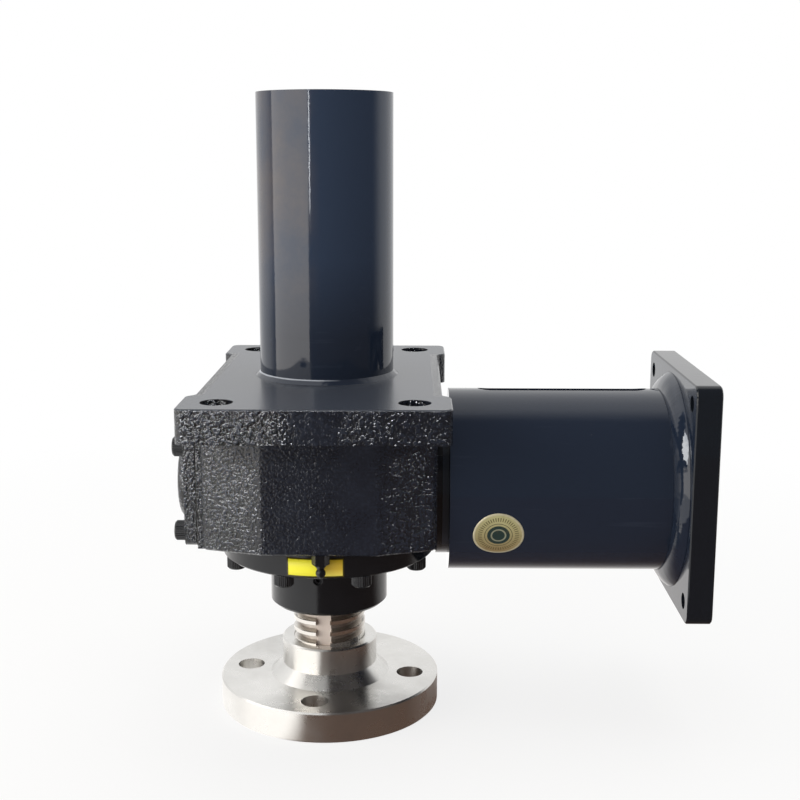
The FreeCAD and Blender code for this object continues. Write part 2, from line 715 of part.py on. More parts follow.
def grease_nipple():
    """Straight nipple that hangs from the case's underside, in front of the cover."""
    hexed = hexagon(NIPPLE_HEX, 0, NIPPLE_HEX_HEIGHT)
    thread = disc_z(NIPPLE_THREAD_R, -NIPPLE_THREAD_LENGTH, 0)
    cone = Part.makeCone(NIPPLE_CONE_R, NIPPLE_STEM_R, NIPPLE_CONE_HEIGHT, V(0, 0, NIPPLE_HEX_HEIGHT))
    stem = disc_z(NIPPLE_STEM_R, NIPPLE_HEX_HEIGHT, NIPPLE_LENGTH - NIPPLE_BALL_R)
    ball = Part.makeSphere(NIPPLE_BALL_R, V(0, 0, NIPPLE_LENGTH - NIPPLE_BALL_R))
    nipple = thread.fuse([hexed, cone, stem, ball])
    return aimed(nipple, (0, -NIPPLE_Y, BODY_BOTTOM), (0, 0, -1))


def keyed(shape):
    """Turn a piece that was built facing +X to the keyway's direction."""
    return turned(shape, KEYWAY_ANGLE)


def guide_key(extra=0.0):
    width = KEYWAY_WIDTH / 2 - SLIDE_FIT + extra
    low = (SCREW_R - KEYWAY_DEPTH + 2 * SLIDE_FIT, -width, KEY_TOP - KEY_LENGTH - extra)
    high = (KEY_OUT + extra, width, KEY_TOP + extra)
    return keyed(box_between(low, high))


def guide_key_screw():
    """Radial screw that holds the guide key in the collar."""
    screw = grub_screw(KEY_OUT, COLLAR_R - GRUB_SINK)
    return keyed(aimed(screw, (0, 0, KEY_MIDDLE), (1, 0, 0)))


def collar_screw_places():
    circle = (COLLAR_SPIGOT_R + COLLAR_R) / 2
    step = 360.0 / COLLAR_SCREW_COUNT
    return [polar(circle, step / 2 + step * k, COVER_POCKET) for k in range(COLLAR_SCREW_COUNT)]


def collar_screw_holes():
    hole = countersunk(COLLAR_SCREW_D, COLLAR_SCREW_LENGTH, SEAT_FIT)
    return [aimed(hole, place, (0, 0, 1)) for place in collar_screw_places()]


def collar_screws():
    """Countersunk screws from inside the cover into the collar."""
    screw = socketed(countersunk(COLLAR_SCREW_D, COLLAR_SCREW_LENGTH))
    return Part.makeCompound([aimed(screw, place, (0, 0, 1)) for place in collar_screw_places()])


def guide_collar():
    edge = COLLAR_EDGE
    wiper_top = COLLAR_BOTTOM + WIPER_WIDTH
    profile = [(BUSH_R, COVER_POCKET), (COLLAR_SPIGOT_R, COVER_POCKET), (COLLAR_SPIGOT_R, COVER_BOTTOM),
               (COLLAR_R, COVER_BOTTOM), (COLLAR_R, COLLAR_BOTTOM + edge), (COLLAR_R - edge, COLLAR_BOTTOM),
               (WIPER_R, COLLAR_BOTTOM), (WIPER_R, wiper_top), (BUSH_R, wiper_top)]
    collar = turned_z(profile).cut(guide_key(SEAT_FIT))
    hole = Part.makeCylinder(GRUB_D / 2 + SEAT_FIT, COLLAR_R, V(KEY_OUT, 0, KEY_MIDDLE), V(1, 0, 0))
    return collar.cut(keyed(hole)).cut(collar_screw_holes())


def guide_bush():
    bush = ring_z(SCREW_R + SLIDE_FIT, BUSH_R - SEAT_FIT, COLLAR_BOTTOM + WIPER_WIDTH, COVER_POCKET)
    return bush.cut(guide_key(SEAT_FIT))


def wiper_seal():
    """Wiper ring with a lip towards the screw."""
    low, high = COLLAR_BOTTOM, COLLAR_BOTTOM + WIPER_WIDTH
    lip, outer = SCREW_R + SLIDE_FIT, WIPER_R - SEAT_FIT
    wall = lip + WIPER_LIP
    return turned_z([(lip, low), (wall, low + WIPER_LIP), (outer, low + WIPER_LIP), (outer, high),
                     (wall, high), (wall, low + 2 * WIPER_LIP), (lip, low + WIPER_LIP)])


def lifting_screw():
    """Screw with its keyway; the thread runs from the stop to the end flange."""
    seat = HUB_TOP - SHOULDER_DEPTH
    end = END_FACE + STUD_SHORT
    profile = [(0, end), (SCREW_STUD_R, end), (SCREW_STUD_R, seat), (SCREW_R, seat),
               (SCREW_R, SCREW_TOP - SCREW_EDGE), (SCREW_R - SCREW_EDGE, SCREW_TOP), (0, SCREW_TOP)]
    screw = turned_z(profile)
    width = KEYWAY_WIDTH / 2
    groove = box_between((SCREW_R - KEYWAY_DEPTH, -width, HUB_TOP),
                         (SCREW_R + OVER, width, SCREW_TOP + OVER))
    depth = STOP_BOLT_LENGTH - STOP_THICK + TAP_SPARE
    tap = disc_z(STOP_BOLT_D / 2 + SEAT_FIT, SCREW_TOP - depth, SCREW_TOP)
    return screw.cut(keyed(groove)).cut(tap).cut(lock_hole())


def lock_hole():
    """Room of the locking screw in hub and lifting screw."""
    drill = Part.makeCylinder(GRUB_D / 2 + SEAT_FIT, HUB_R, V(LOCK_START, 0, LOCK_Z), V(1, 0, 0))
    return turned(drill, 90)


def flange_lock_screw():
    screw = grub_screw(LOCK_START, HUB_R - GRUB_SINK)
    return aimed(screw, (0, 0, LOCK_Z), (0, 1, 0))


def end_flange():
    """Hub, short cone and round plate on the lower end of the screw."""
    seat = HUB_TOP - SHOULDER_DEPTH
    edge = SMALL_EDGE
    bore, stud = SCREW_R + SEAT_FIT, SCREW_STUD_R + SEAT_FIT
    profile = [(bore, HUB_TOP), (HUB_R - edge, HUB_TOP), (HUB_R, HUB_TOP - edge), (HUB_R, CONE_TOP),
               (CONE_R, PLATE_TOP), (END_FLANGE_R - edge, PLATE_TOP), (END_FLANGE_R, PLATE_TOP - edge),
               (END_FLANGE_R, END_FACE + edge), (END_FLANGE_R - edge, END_FACE), (stud, END_FACE),
               (stud, seat), (bore, seat)]
    flange = turned_z(profile)
    step = 360.0 / END_HOLE_COUNT
    circle = END_FLANGE_R - END_HOLE_EDGE
    places = [polar(circle, END_HOLE_TURN + step * k, PLATE_TOP) for k in range(END_HOLE_COUNT)]
    holes = holes_at(places, (0, 0, 1), END_HOLE_D / 2, END_FLANGE_THICK)
    return flange.cut(holes).cut(lock_hole())


def travel_stop():
    """Disc on top of the screw that keeps it from running out of the nut."""
    return ring_z(STOP_BOLT_D / 2 + BOLT_CLEARANCE, STOP_R, SCREW_TOP, SCREW_TOP + STOP_THICK)


def travel_stop_bolt():
    return screws_at([(0, 0, SCREW_TOP + STOP_THICK)], (0, 0, 1), STOP_BOLT_D, STOP_BOLT_LENGTH)


def lifting_nut():
    """Bronze nut, turned by the bevel gear, with the seats of both main bearings."""
    neck_top = -ROOF_LIP - RUN_GAP
    low_top = COVER_POCKET + LOWER_BEARING[2]
    bottom = COVER_POCKET + RUN_GAP
    upper, lower = UPPER_BEARING[0] - SEAT_FIT, LOWER_BEARING[0] - SEAT_FIT
    profile = [(SCREW_R + SLIDE_FIT, neck_top), (NUT_NECK_R, neck_top), (NUT_NECK_R, UPPER_SEAT),
               (upper, UPPER_SEAT), (upper, UPPER_LOW), (NUT_SHOULDER_R, UPPER_LOW),
               (NUT_SHOULDER_R, NUT_FLANGE_TOP), (NUT_FLANGE_R, NUT_FLANGE_TOP),
               (NUT_FLANGE_R, GEAR_BACK), (NUT_R, GEAR_BACK), (NUT_R, low_top), (lower, low_top),
               (lower, bottom), (SCREW_R + SLIDE_FIT, bottom)]
    return turned_z(profile).cut(gear_key(SEAT_FIT)).cut(gear_screw_holes())


def gear_screw_places():
    step = 360.0 / GEAR_SCREW_COUNT
    return [polar(GEAR_SCREW_CIRCLE, step * k, NUT_FLANGE_TOP) for k in range(GEAR_SCREW_COUNT)]


def gear_screw_holes():
    hole = countersunk(GEAR_SCREW_D, GEAR_SCREW_LENGTH, SEAT_FIT)
    return [aimed(hole, place, (0, 0, 1)) for place in gear_screw_places()]


def gear_screws():
    screw = socketed(countersunk(GEAR_SCREW_D, GEAR_SCREW_LENGTH))
    return Part.makeCompound([aimed(screw, place, (0, 0, 1)) for place in gear_screw_places()])


def gear_key(extra=0.0):
    """Parallel key in the nut's flange seat that drives it from the gear."""
    half = GEAR_KEY_WIDTH / 2 + extra
    low = (-half, NUT_R - GEAR_KEY_IN - extra, GEAR_BACK - GEAR_KEY_LENGTH - extra)
    high = (half, NUT_R + GEAR_KEY_OUT + extra, GEAR_BACK)
    return box_between(low, high)


def upper_bearing():
    turned_over = [turned(piece, 180, (1, 0, 0)) for piece in bearing(UPPER_BEARING, UPPER_ROLLERS)]
    return [piece.translated(V(0, 0, UPPER_SEAT)) for piece in turned_over]


def lower_bearing():
    return [piece.translated(V(0, 0, COVER_POCKET)) for piece in bearing(LOWER_BEARING, LOWER_ROLLERS)]


def shaft_bearings():
    """Two equal bearings on the input shaft, as three groups of like pieces."""
    groups = [[], [], []]
    for place, direction in ((BEARING_START, 1), (BEARING_END, -1)):
        for group, piece in zip(groups, bearing(SHAFT_BEARING, SHAFT_ROLLERS)):
            group.append(aimed(piece, (place, 0, INPUT_Z), (direction, 0, 0)))
    return [Part.makeCompound(group) for group in groups]


def upper_seal():
    inner = NUT_NECK_R + SLIDE_FIT
    wall = inner + SEAL_WALL
    high = -ROOF_LIP
    low = high - UPPER_SEAL_WIDTH
    return turned_z([(inner, low), (UPPER_SEAL_R, low), (UPPER_SEAL_R, high), (wall, high),
                     (wall, low + SEAL_LIP + SMALL_EDGE), (inner, low + SEAL_LIP)])


def input_seal():
    inner, outer = SHAFT_BEARING[0] + SLIDE_FIT, SHAFT_BEARING[1]
    wall = inner + SEAL_WALL
    end, start = CARRIER_END, CARRIER_END - INPUT_SEAL_WIDTH
    return turned_x([(end, inner), (end, outer), (start, outer), (start, wall),
                     (end - SEAL_LIP, wall), (end - SEAL_LIP, inner)])


def shaft_locknut():
    """Slotted nut that holds the bearings on the input shaft."""
    outer = SHAFT_BEARING[0] + LOCKNUT_WALL
    end, half = BEARING_END + LOCKNUT_THICK, LOCKNUT_SLOT / 2
    nut = ring_x(SHAFT_BEARING[0], outer, BEARING_END, end)
    slot = box_between((BEARING_END, -half, INPUT_Z + outer - LOCKNUT_SLOT_DEPTH),
                       (end, half, INPUT_Z + outer + OVER))
    step = 360.0 / LOCKNUT_SLOT_COUNT
    slots = [turned(slot, step * k, (1, 0, 0), (0, 0, INPUT_Z)) for k in range(LOCKNUT_SLOT_COUNT)]
    return nut.cut(slots)


def bearing_carrier():
    """Flanged cartridge with the input shaft's bearings; its flange shows as the neck ring."""
    seat = SHAFT_BEARING[1] + SEAT_FIT
    lip = SHAFT_BEARING[1] - CARRIER_LIP
    start = BEARING_START - BEARING_LAND
    first = BEARING_START + SHAFT_BEARING[2]
    second = first + BEARING_GAP
    profile = [(start, seat), (start, CARRIER_SPIGOT_R), (PAD_RIGHT, CARRIER_SPIGOT_R),
               (PAD_RIGHT, CARRIER_R), (CARRIER_FACE, CARRIER_R), (CARRIER_FACE, CARRIER_SNOUT_R),
               (CARRIER_END, CARRIER_SNOUT_R), (CARRIER_END, seat), (second, seat),
               (second, lip), (first, lip), (first, seat)]
    holes = through_holes(lantern_screw_places(CARRIER_FACE), (1, 0, 0), CARRIER_THICK)
    return turned_x(profile).cut(holes)


def lantern_base():
    """Ring welded into the lantern's end and bolted to the casting through the carrier."""
    end = CARRIER_FACE + BASE_THICK
    inner = CARRIER_SNOUT_R + 3 * SLIDE_FIT
    ring = ring_x(inner, LANTERN_R - LANTERN_WALL, CARRIER_FACE, end)
    return ring.cut(through_holes(lantern_screw_places(end), (1, 0, 0), BASE_THICK))


def lantern_screws():
    places = lantern_screw_places(CARRIER_FACE + BASE_THICK)
    return screws_at(places, (1, 0, 0), CASE_SCREW_D, BASE_THICK + CARRIER_THICK + CASE_SCREW_GRIP)


def window():
    """Slot with round ends through the top of the lantern."""
    half = WINDOW_WIDTH / 2
    first = CARRIER_FACE + WINDOW_START + half
    last = PLATE_FACE - WINDOW_BACK - half
    low = INPUT_Z + LANTERN_R / 2
    height = LANTERN_R
    slot = box_between((first, -half, low), (last, half, low + height))
    for x in (first, last):
        slot = slot.fuse(Part.makeCylinder(half, height, V(x, 0, low)))
    return turned(slot, -WINDOW_TURN, (1, 0, 0), (0, 0, INPUT_Z))


def lantern_tube():
    tube = ring_x(LANTERN_R - LANTERN_WALL, LANTERN_R, CARRIER_FACE, PLATE_FACE)
    return tube.cut(window())


def lantern_weld():
    """Broad fillet weld between the lantern and the motor plate."""
    middle = (PLATE_FACE - WELD_RUN / 2 - WELD_CROWN, LANTERN_R + WELD_RISE / 2 + WELD_CROWN)
    return turned_x([(PLATE_FACE - WELD_RUN, LANTERN_R), middle, (PLATE_FACE, LANTERN_R + WELD_RISE),
                     (PLATE_FACE, LANTERN_R)])


def motor_plate():
    half = PLATE_SIDE / 2
    plate = box_between((PLATE_FACE, -half, INPUT_Z - half),
                        (PLATE_FACE + PLATE_THICK, half, INPUT_Z + half))
    corners = [e for e in plate.Edges if e.BoundBox.XLength > PLATE_THICK / 2]
    plate = plate.makeFillet(PLATE_CORNER, corners)
    plate = plate.makeChamfer(PLATE_EDGE, [e for e in plate.Edges if e.BoundBox.XLength < 1e-6])
    plate = plate.cut(disc_x(PILOT_R, PLATE_FACE, PLATE_FACE + PLATE_THICK))
    reach = half - MOTOR_HOLE_EDGE
    face = PLATE_FACE + PLATE_THICK
    places = [(face, sy * reach, INPUT_Z + sz * reach) for sy in (-1, 1) for sz in (-1, 1)]
    return plate.cut(holes_at(places, (1, 0, 0), MOTOR_HOLE_D / 2, PLATE_THICK))


def sector(inner, outer, start, end, centre, width):
    """Part of a ring about the input axis, centred on one angle."""
    reach = 2 * outer
    half = math.radians(width / 2)
    corners = [V(start, 0, 0), V(start, -reach * math.sin(half), reach * math.cos(half)),
               V(start, reach * math.sin(half), reach * math.cos(half))]
    wedge = Part.Face(Part.makePolygon(corners + corners[:1])).extrude(V(end - start, 0, 0))
    wedge.translate(V(0, 0, INPUT_Z))
    piece = ring_x(inner, outer, start, end).common(wedge)
    return turned(piece, centre, (1, 0, 0), (0, 0, INPUT_Z))


def jaws(start, end, first):
    step = 360.0 / JAW_COUNT
    inner = SPIDER_CORE_R + JAW_GAP
    return [sector(inner, COUPLING_R, start, end, first + step * k, JAW_ANGLE) for k in range(JAW_COUNT)]


def coupling_hub_input():
    hub = ring_x(SHAFT_END_R + SEAT_FIT, COUPLING_R, COUPLING_START, JAW_START)
    hub = hub.fuse(jaws(JAW_START, JAW_END - JAW_GAP, 0))
    return hub.cut(shaft_key(SEAT_FIT)).cut(set_screw_hole(input_set_place()))


def coupling_hub_motor():
    hub = ring_x(MOTOR_SHAFT_R, COUPLING_R, JAW_END, COUPLING_END)
    hub = hub.fuse(jaws(JAW_START + JAW_GAP, JAW_END, 180.0 / JAW_COUNT))
    half = MOTOR_KEY_WIDTH / 2
    keyway = box_between((JAW_END, -half, INPUT_Z),
                         (COUPLING_END, half, INPUT_Z + MOTOR_SHAFT_R + MOTOR_KEY_DEPTH))
    return hub.cut(keyway).cut(set_screw_hole(motor_set_place()))


def coupling_spider():
    """Elastic star between the jaws."""
    start, end = JAW_START + SPIDER_GAP, JAW_END - SPIDER_GAP
    step = 180.0 / JAW_COUNT
    core = ring_x(SPIDER_BORE_R, SPIDER_CORE_R, start, end)
    arms = [sector(SPIDER_BORE_R, COUPLING_R - SMALL_EDGE, start, end, step / 2 + step * k, SPIDER_ANGLE)
            for k in range(2 * JAW_COUNT)]
    return core.fuse(arms).removeSplitter()


def input_set_place():
    return COUPLING_START + SET_SCREW_START, SHAFT_END_R + SLIDE_FIT


def motor_set_place():
    return JAW_END + COUPLING_MOTOR_BODY / 2, MOTOR_SHAFT_R + SLIDE_FIT


def set_screw_hole(place):
    """Tapped hole of a grub screw in a coupling hub, square to its key."""
    x = place[0]
    return Part.makeCylinder(GRUB_D / 2 + SEAT_FIT, COUPLING_R + OVER, V(x, 0, INPUT_Z), V(0, -1, 0))


def coupling_set_screws():
    screws = []
    for x, inner in (input_set_place(), motor_set_place()):
        screws.append(aimed(grub_screw(inner, COUPLING_R - GRUB_SINK), (x, 0, INPUT_Z), (0, -1, 0)))
    return Part.makeCompound(screws)


def left_sheet(start, end, edge=0.0):
    """Plate of the left cover's outline, or with edge a smaller one."""
    half_y, half_z = LEFT_COVER_Y / 2 - edge, LEFT_COVER_Z / 2 - edge
    low = (start, -half_y, LEFT_COVER_MIDDLE - half_z)
    return box_between(low, (end, half_y, LEFT_COVER_MIDDLE + half_z))


def left_gasket():
    sheet = left_sheet(LEFT_FACE, PAD_LEFT, GASKET_EDGE)
    sheet = sheet.cut(disc_x(CARRIER_SPIGOT_R, LEFT_FACE, PAD_LEFT))
    return sheet.cut(through_holes(left_screw_places(PAD_LEFT), (1, 0, 0), GASKET))


def left_cover():
    """Cover over the port for a second input shaft, with a round boss."""
    plate = left_sheet(LEFT_OUTER, LEFT_FACE)
    corners = [e for e in plate.Edges if e.BoundBox.XLength > LEFT_COVER_THICK / 2]
    plate = plate.makeFillet(BODY_ROUND, corners)
    boss = disc_x(LEFT_BOSS_R, LEFT_OUTER - LEFT_BOSS_OUT, LEFT_OUTER)
    rim = [e for e in boss.Edges if e.BoundBox.XMax < LEFT_OUTER - LEFT_BOSS_OUT / 2]
    boss = boss.makeFillet(LEFT_BOSS_ROUND, rim)
    spigot_r = CARRIER_SPIGOT_R - SEAT_FIT
    spigot = ring_x(spigot_r - LEFT_SPIGOT_WALL, spigot_r, LEFT_FACE, LEFT_FACE + LEFT_SPIGOT)
    cover = plate.fuse([boss, spigot])
    return cover.cut(through_holes(left_screw_places(LEFT_OUTER), (-1, 0, 0), LEFT_COVER_THICK))


def left_cover_screws():
    length = LEFT_COVER_THICK + GASKET + CASE_SCREW_GRIP
    return screws_at(left_screw_places(LEFT_OUTER), (-1, 0, 0), CASE_SCREW_D, length)


def lower_cover_screws():
    length = COVER_THICK + CASE_SCREW_GRIP
    return screws_at(cover_screw_places(COVER_BOTTOM), (0, 0, -1), CASE_SCREW_D, length)


NODES = {
    "housing": housing,
    "protection_tube": protection_tube,
    "tube_weld": tube_weld,
    "tube_cap": tube_cap,
    "lower_cover": lower_cover,
    "lower_cover_screws": lower_cover_screws,
    "grease_nipple": grease_nipple,
    "guide_collar": guide_collar,
    "collar_screws": collar_screws,
    "guide_bush": guide_bush,
    "guide_key": guide_key,
    "guide_key_screw": guide_key_screw,
    "wiper_seal": wiper_seal,
    "lifting_screw": lifting_screw,
    "end_flange": end_flange,
    "flange_lock_screw": flange_lock_screw,
    "travel_stop": travel_stop,
    "travel_stop_bolt": travel_stop_bolt,
    "lifting_nut": lifting_nut,
    "bevel_gear": bevel_gear,
    "gear_key": gear_key,
    "gear_screws": gear_screws,
    "upper_seal": upper_seal,
    "pinion_shaft": pinion_shaft,
    "shaft_key": shaft_key,
    "shaft_locknut": shaft_locknut,
    "input_seal": input_seal,
    "bearing_carrier": bearing_carrier,
    "lantern_base": lantern_base,
    "lantern_screws": lantern_screws,
    "lantern_tube": lantern_tube,
    "lantern_weld": lantern_weld,
    "motor_plate": motor_plate,
    "coupling_hub_input": coupling_hub_input,
    "coupling_hub_motor": coupling_hub_motor,
    "coupling_spider": coupling_spider,
    "coupling_set_screws": coupling_set_screws,
    "left_gasket": left_gasket,
    "left_cover": left_cover,
    "left_cover_screws": left_cover_screws,
}

for node, make in NODES.items():
    save(make(), node)

BEARING_PIECES = ("outer", "inner", "rollers")
for name, make in (("upper_bearing", upper_bearing), ("lower_bearing", lower_bearing),
                   ("shaft_bearings", shaft_bearings)):
    for piece, shape in zip(BEARING_PIECES, make()):
        save(shape, name + "_" + piece)
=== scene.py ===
# %% [markdown]
# # A bevel gear screw jack, dressed for its portrait
#
# The jack comes in as finished solids: a cast gear case under a bolting flange, a lifting
# screw with a round end flange, a tube over the screw and a motor lantern on the side.
# This file gives them paint, metal and the small forms that solids leave out: the thread,
# the rough skin of the casting, weld beads, knurled screws, a seal sticker and a label.
#
# Lengths are metres, +Z is up along the screw and +X runs along the input axis.

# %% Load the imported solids
import bpy
import bmesh
import json
import math
from mathutils import Matrix, Vector


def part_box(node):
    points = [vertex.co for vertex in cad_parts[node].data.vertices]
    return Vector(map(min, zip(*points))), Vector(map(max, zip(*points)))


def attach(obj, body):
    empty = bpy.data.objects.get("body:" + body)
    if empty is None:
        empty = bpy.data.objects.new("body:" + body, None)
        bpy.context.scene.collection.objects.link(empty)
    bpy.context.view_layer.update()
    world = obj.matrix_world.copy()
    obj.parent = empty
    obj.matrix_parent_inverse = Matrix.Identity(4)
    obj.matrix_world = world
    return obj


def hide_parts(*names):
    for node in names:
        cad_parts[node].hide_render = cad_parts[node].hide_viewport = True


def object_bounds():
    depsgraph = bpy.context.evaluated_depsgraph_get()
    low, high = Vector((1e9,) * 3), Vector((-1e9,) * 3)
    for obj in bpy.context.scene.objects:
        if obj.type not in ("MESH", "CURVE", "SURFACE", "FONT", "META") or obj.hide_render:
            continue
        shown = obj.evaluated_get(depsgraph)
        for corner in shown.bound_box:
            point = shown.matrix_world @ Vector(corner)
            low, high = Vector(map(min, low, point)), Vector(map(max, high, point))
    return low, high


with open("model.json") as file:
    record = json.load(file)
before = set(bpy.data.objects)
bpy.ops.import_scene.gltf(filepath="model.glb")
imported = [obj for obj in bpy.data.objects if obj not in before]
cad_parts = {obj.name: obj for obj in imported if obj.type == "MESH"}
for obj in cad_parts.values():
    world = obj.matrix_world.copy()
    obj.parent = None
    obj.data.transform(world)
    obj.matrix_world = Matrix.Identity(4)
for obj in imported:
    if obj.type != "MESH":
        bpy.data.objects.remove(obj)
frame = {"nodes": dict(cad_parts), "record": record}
nodes = frame["nodes"]
solid_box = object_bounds()
MM = 0.001
print("solids:", len(nodes), "box:", [[round(c, 4) for c in corner] for corner in solid_box])

# %% [markdown]
# ## Where the sizes come from
#
# Most sizes can be read off the solids with their boxes, so that a screw head or a weld
# stays on the piece that carries it. Only sizes that no box shows, such as the thread's
# pitch or the keyway's direction, are written here.

# %% Sizes read from the solids
INPUT_Z = (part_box("lantern_tube")[0][2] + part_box("lantern_tube")[1][2]) / 2
LANTERN_R = (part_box("lantern_tube")[1][2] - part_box("lantern_tube")[0][2]) / 2
PLATE_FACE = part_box("motor_plate")[0][0]
COVER_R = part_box("lower_cover")[1][0]
COVER_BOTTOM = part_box("lower_cover")[0][2]
FLANGE_BOTTOM = -21.5 * MM
SCREW_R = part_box("lifting_screw")[1][0]
SCREW_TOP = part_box("lifting_screw")[1][2]
HUB_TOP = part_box("end_flange")[1][2]
PITCH = 8 * MM
THREAD_DEPTH = 4.5 * MM
KEYWAY_DEPTH = 4.5 * MM
KEYWAY_HALF = 5 * MM
KEYWAY_ANGLE = math.radians(-97)
print("input axis at z", round(INPUT_Z, 4), "lantern radius", round(LANTERN_R, 4))

# %% [markdown]
# ## The camera
#
# The picture was taken from a little above the flange, from the right of the screw. A camera
# can be set by eye, but here its place, tilt and lens were solved from edges measured in the
# picture, because then every edge of the solids falls on its own line.

# %% Camera from its place, pitch, yaw and roll
FOCAL_PIXELS = 1269.468
PICTURE_WIDTH = 800
SENSOR_WIDTH = 36
CAMERA_PLACE = Vector((58.589, -850.252, 147.021)) * MM
pitch, yaw, roll = math.radians(11.022), math.radians(-0.611), math.radians(0.084)
ahead = Vector((math.sin(yaw) * math.cos(pitch), math.cos(yaw) * math.cos(pitch), -math.sin(pitch)))
level = Vector((math.cos(yaw), -math.sin(yaw), 0))
upright = level.cross(ahead)
across = math.cos(roll) * level + math.sin(roll) * upright
upward = -math.sin(roll) * level + math.cos(roll) * upright

camera_data = bpy.data.cameras.new("camera")
camera_data.sensor_width = SENSOR_WIDTH
camera_data.lens = FOCAL_PIXELS * SENSOR_WIDTH / PICTURE_WIDTH
camera_data.clip_start = 0.01
camera = bpy.data.objects.new("camera", camera_data)
turned = Matrix((across, upward, -ahead)).transposed().to_4x4()
camera.matrix_world = Matrix.Translation(CAMERA_PLACE) @ turned
bpy.context.collection.objects.link(camera)
bpy.context.scene.camera = camera
bpy.context.scene.view_settings.view_transform = "Standard"
print("lens", round(camera_data.lens, 2), "mm")

# %% [markdown]
# ## Small helpers
#
# Colours are easiest to read as the hex values of a paint chart, but Blender computes in
# linear light, so one function turns them. A second function adds a node to a tree and sets
# it up from one table: a plain value is set, a chart colour is turned to linear, and another
# node or socket is linked. That keeps each finish below down to a few readable lines.


# %% Colour and node helpers
def linear(chart):
    """sRGB hex colour to linear RGBA."""
    parts = [int(chart[i:i + 2], 16) / 255 for i in (1, 3, 5)]
    light = [c / 12.92 if c <= 0.04045 else ((c + 0.055) / 1.055) ** 2.4 for c in parts]
    return (*light, 1.0)


def wire(node, settings):
    """Set or link a node's properties and sockets. A node stands for its first live output."""
    for name, value in settings.items():
        if isinstance(value, bpy.types.Node):
            value = next(socket for socket in value.outputs if socket.enabled)
        if isinstance(value, str) and value.startswith("#"):
            value = linear(value)
        if isinstance(value, bpy.types.NodeSocket):
            node.id_data.links.new(value, node.inputs[name])
        elif isinstance(name, str) and hasattr(node, name):
            setattr(node, name, value)
        else:
            node.inputs[name].default_value = value


def add(tree, kind, settings=None):
    """Add a node to a tree with its settings and links."""
    node = tree.nodes.new(kind)
    wire(node, settings or {})
    return node


A, B = 6, 7
print("mid grey in linear light:", round(linear("#808080")[0], 3))
print("colour sockets of a Mix node:", A, "and", B)

# %% [markdown]
# ## Floor, world and light
#
# The jack stands on a pale studio table. For the camera the table is nearly white whatever
# the lamps do, and it keeps a soft shadow, because part of its colour is a plain glow that
# only camera rays see. It fades into the white world towards its rim. It rides on the lifting
# screw, since the end flange stands on it wherever the screw is. Bare steel mirrors the
# table, but what mirror rays see is a painted glow, not lamp light: a painted bright
# reflection on the left and towards the back, and a painted dim, warm one on the right. The
# border between them is the sharp upright line on the hub.

# %% The table
FLOOR_R = 1.0
FLOOR_GAP = 0.2 * MM
floor_mesh = bpy.data.meshes.new("studio_table")
shape = bmesh.new()
bmesh.ops.create_circle(shape, cap_ends=True, radius=FLOOR_R, segments=96)
shape.transform(Matrix.Translation((0, 0, solid_box[0][2] - FLOOR_GAP)))
shape.to_mesh(floor_mesh)
shape.free()
floor = bpy.data.objects.new("studio_table", floor_mesh)
bpy.context.collection.objects.link(floor)
print("table radius", FLOOR_R, "m")

# %% What the table shows to each kind of ray
paper = bpy.data.materials.new("white_table_board")
paper.use_nodes = True
tree = paper.node_tree
tree.nodes.clear()
place = add(tree, "ShaderNodeTexCoord")
reach = add(tree, "ShaderNodeVectorMath", {"operation": "LENGTH", 0: place.outputs["Object"]})
fade = add(tree, "ShaderNodeMapRange", {
    "From Min": 0.35, "From Max": 0.9, "To Min": 0.8, "To Max": 1.0, "Value": reach})
rays = add(tree, "ShaderNodeLightPath")
share = add(tree, "ShaderNodeMath", {
    "operation": "MULTIPLY", 0: rays.outputs["Is Camera Ray"], 1: fade})
board = add(tree, "ShaderNodeBsdfDiffuse", {"Color": "#f0eeea"})
where = add(tree, "ShaderNodeSeparateXYZ", {0: place.outputs["Object"]})
# Painted reflection: mirror rays see this glow bright on the left and brighter towards the back, and dim
# and warm on the right.
sector = add(tree, "ShaderNodeMath", {
    "operation": "MULTIPLY_ADD", 0: where.outputs["Y"], 1: -0.32, 2: where.outputs["X"]})
painted_bright_side = add(tree, "ShaderNodeMapRange", {
    "interpolation_type": "SMOOTHSTEP", "From Min": 12 * MM, "From Max": -12 * MM, "Value": sector})
painted_bright_back = add(tree, "ShaderNodeMapRange", {
    "interpolation_type": "SMOOTHSTEP", "From Min": 0.0, "From Max": 150 * MM, "To Max": 0.7,
    "Value": where.outputs["Y"]})
painted_bright_share = add(tree, "ShaderNodeMath", {"operation": "MAXIMUM", 0: painted_bright_side, 1: painted_bright_back})
painted_reflection_colour = add(tree, "ShaderNodeMix", {
    "data_type": "RGBA", A: (0.13, 0.083, 0.062, 1), B: (1.36, 1.34, 1.32, 1), "Factor": painted_bright_share})
dim = add(tree, "ShaderNodeEmission", {"Strength": 1.0, "Color": painted_reflection_colour})
glow = add(tree, "ShaderNodeEmission", {"Color": (1, 1, 1, 1), "Strength": 1.0})
lower = add(tree, "ShaderNodeMixShader", {0: rays.outputs["Is Glossy Ray"], 1: board, 2: dim})
both = add(tree, "ShaderNodeMixShader", {0: share, 1: lower, 2: glow})
add(tree, "ShaderNodeOutputMaterial", {"Surface": both})
floor_mesh.materials.append(paper)
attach(floor, "lifting_screw")
print("table board:", len(tree.nodes), "nodes")

# %% [markdown]
# The world is what the gloss paint and the bare steel mirror. A real studio is white behind
# the object and dim behind the photographer, and that is what gives black paint its depth:
# bright edges and a dark face. So camera rays see plain white, mirror rays see white at the
# back that falls to a dim warm room in front, and diffuse rays get an even grey. High on the
# left the mirrored room is bright too: the sloped cone of the end flange shows that side.

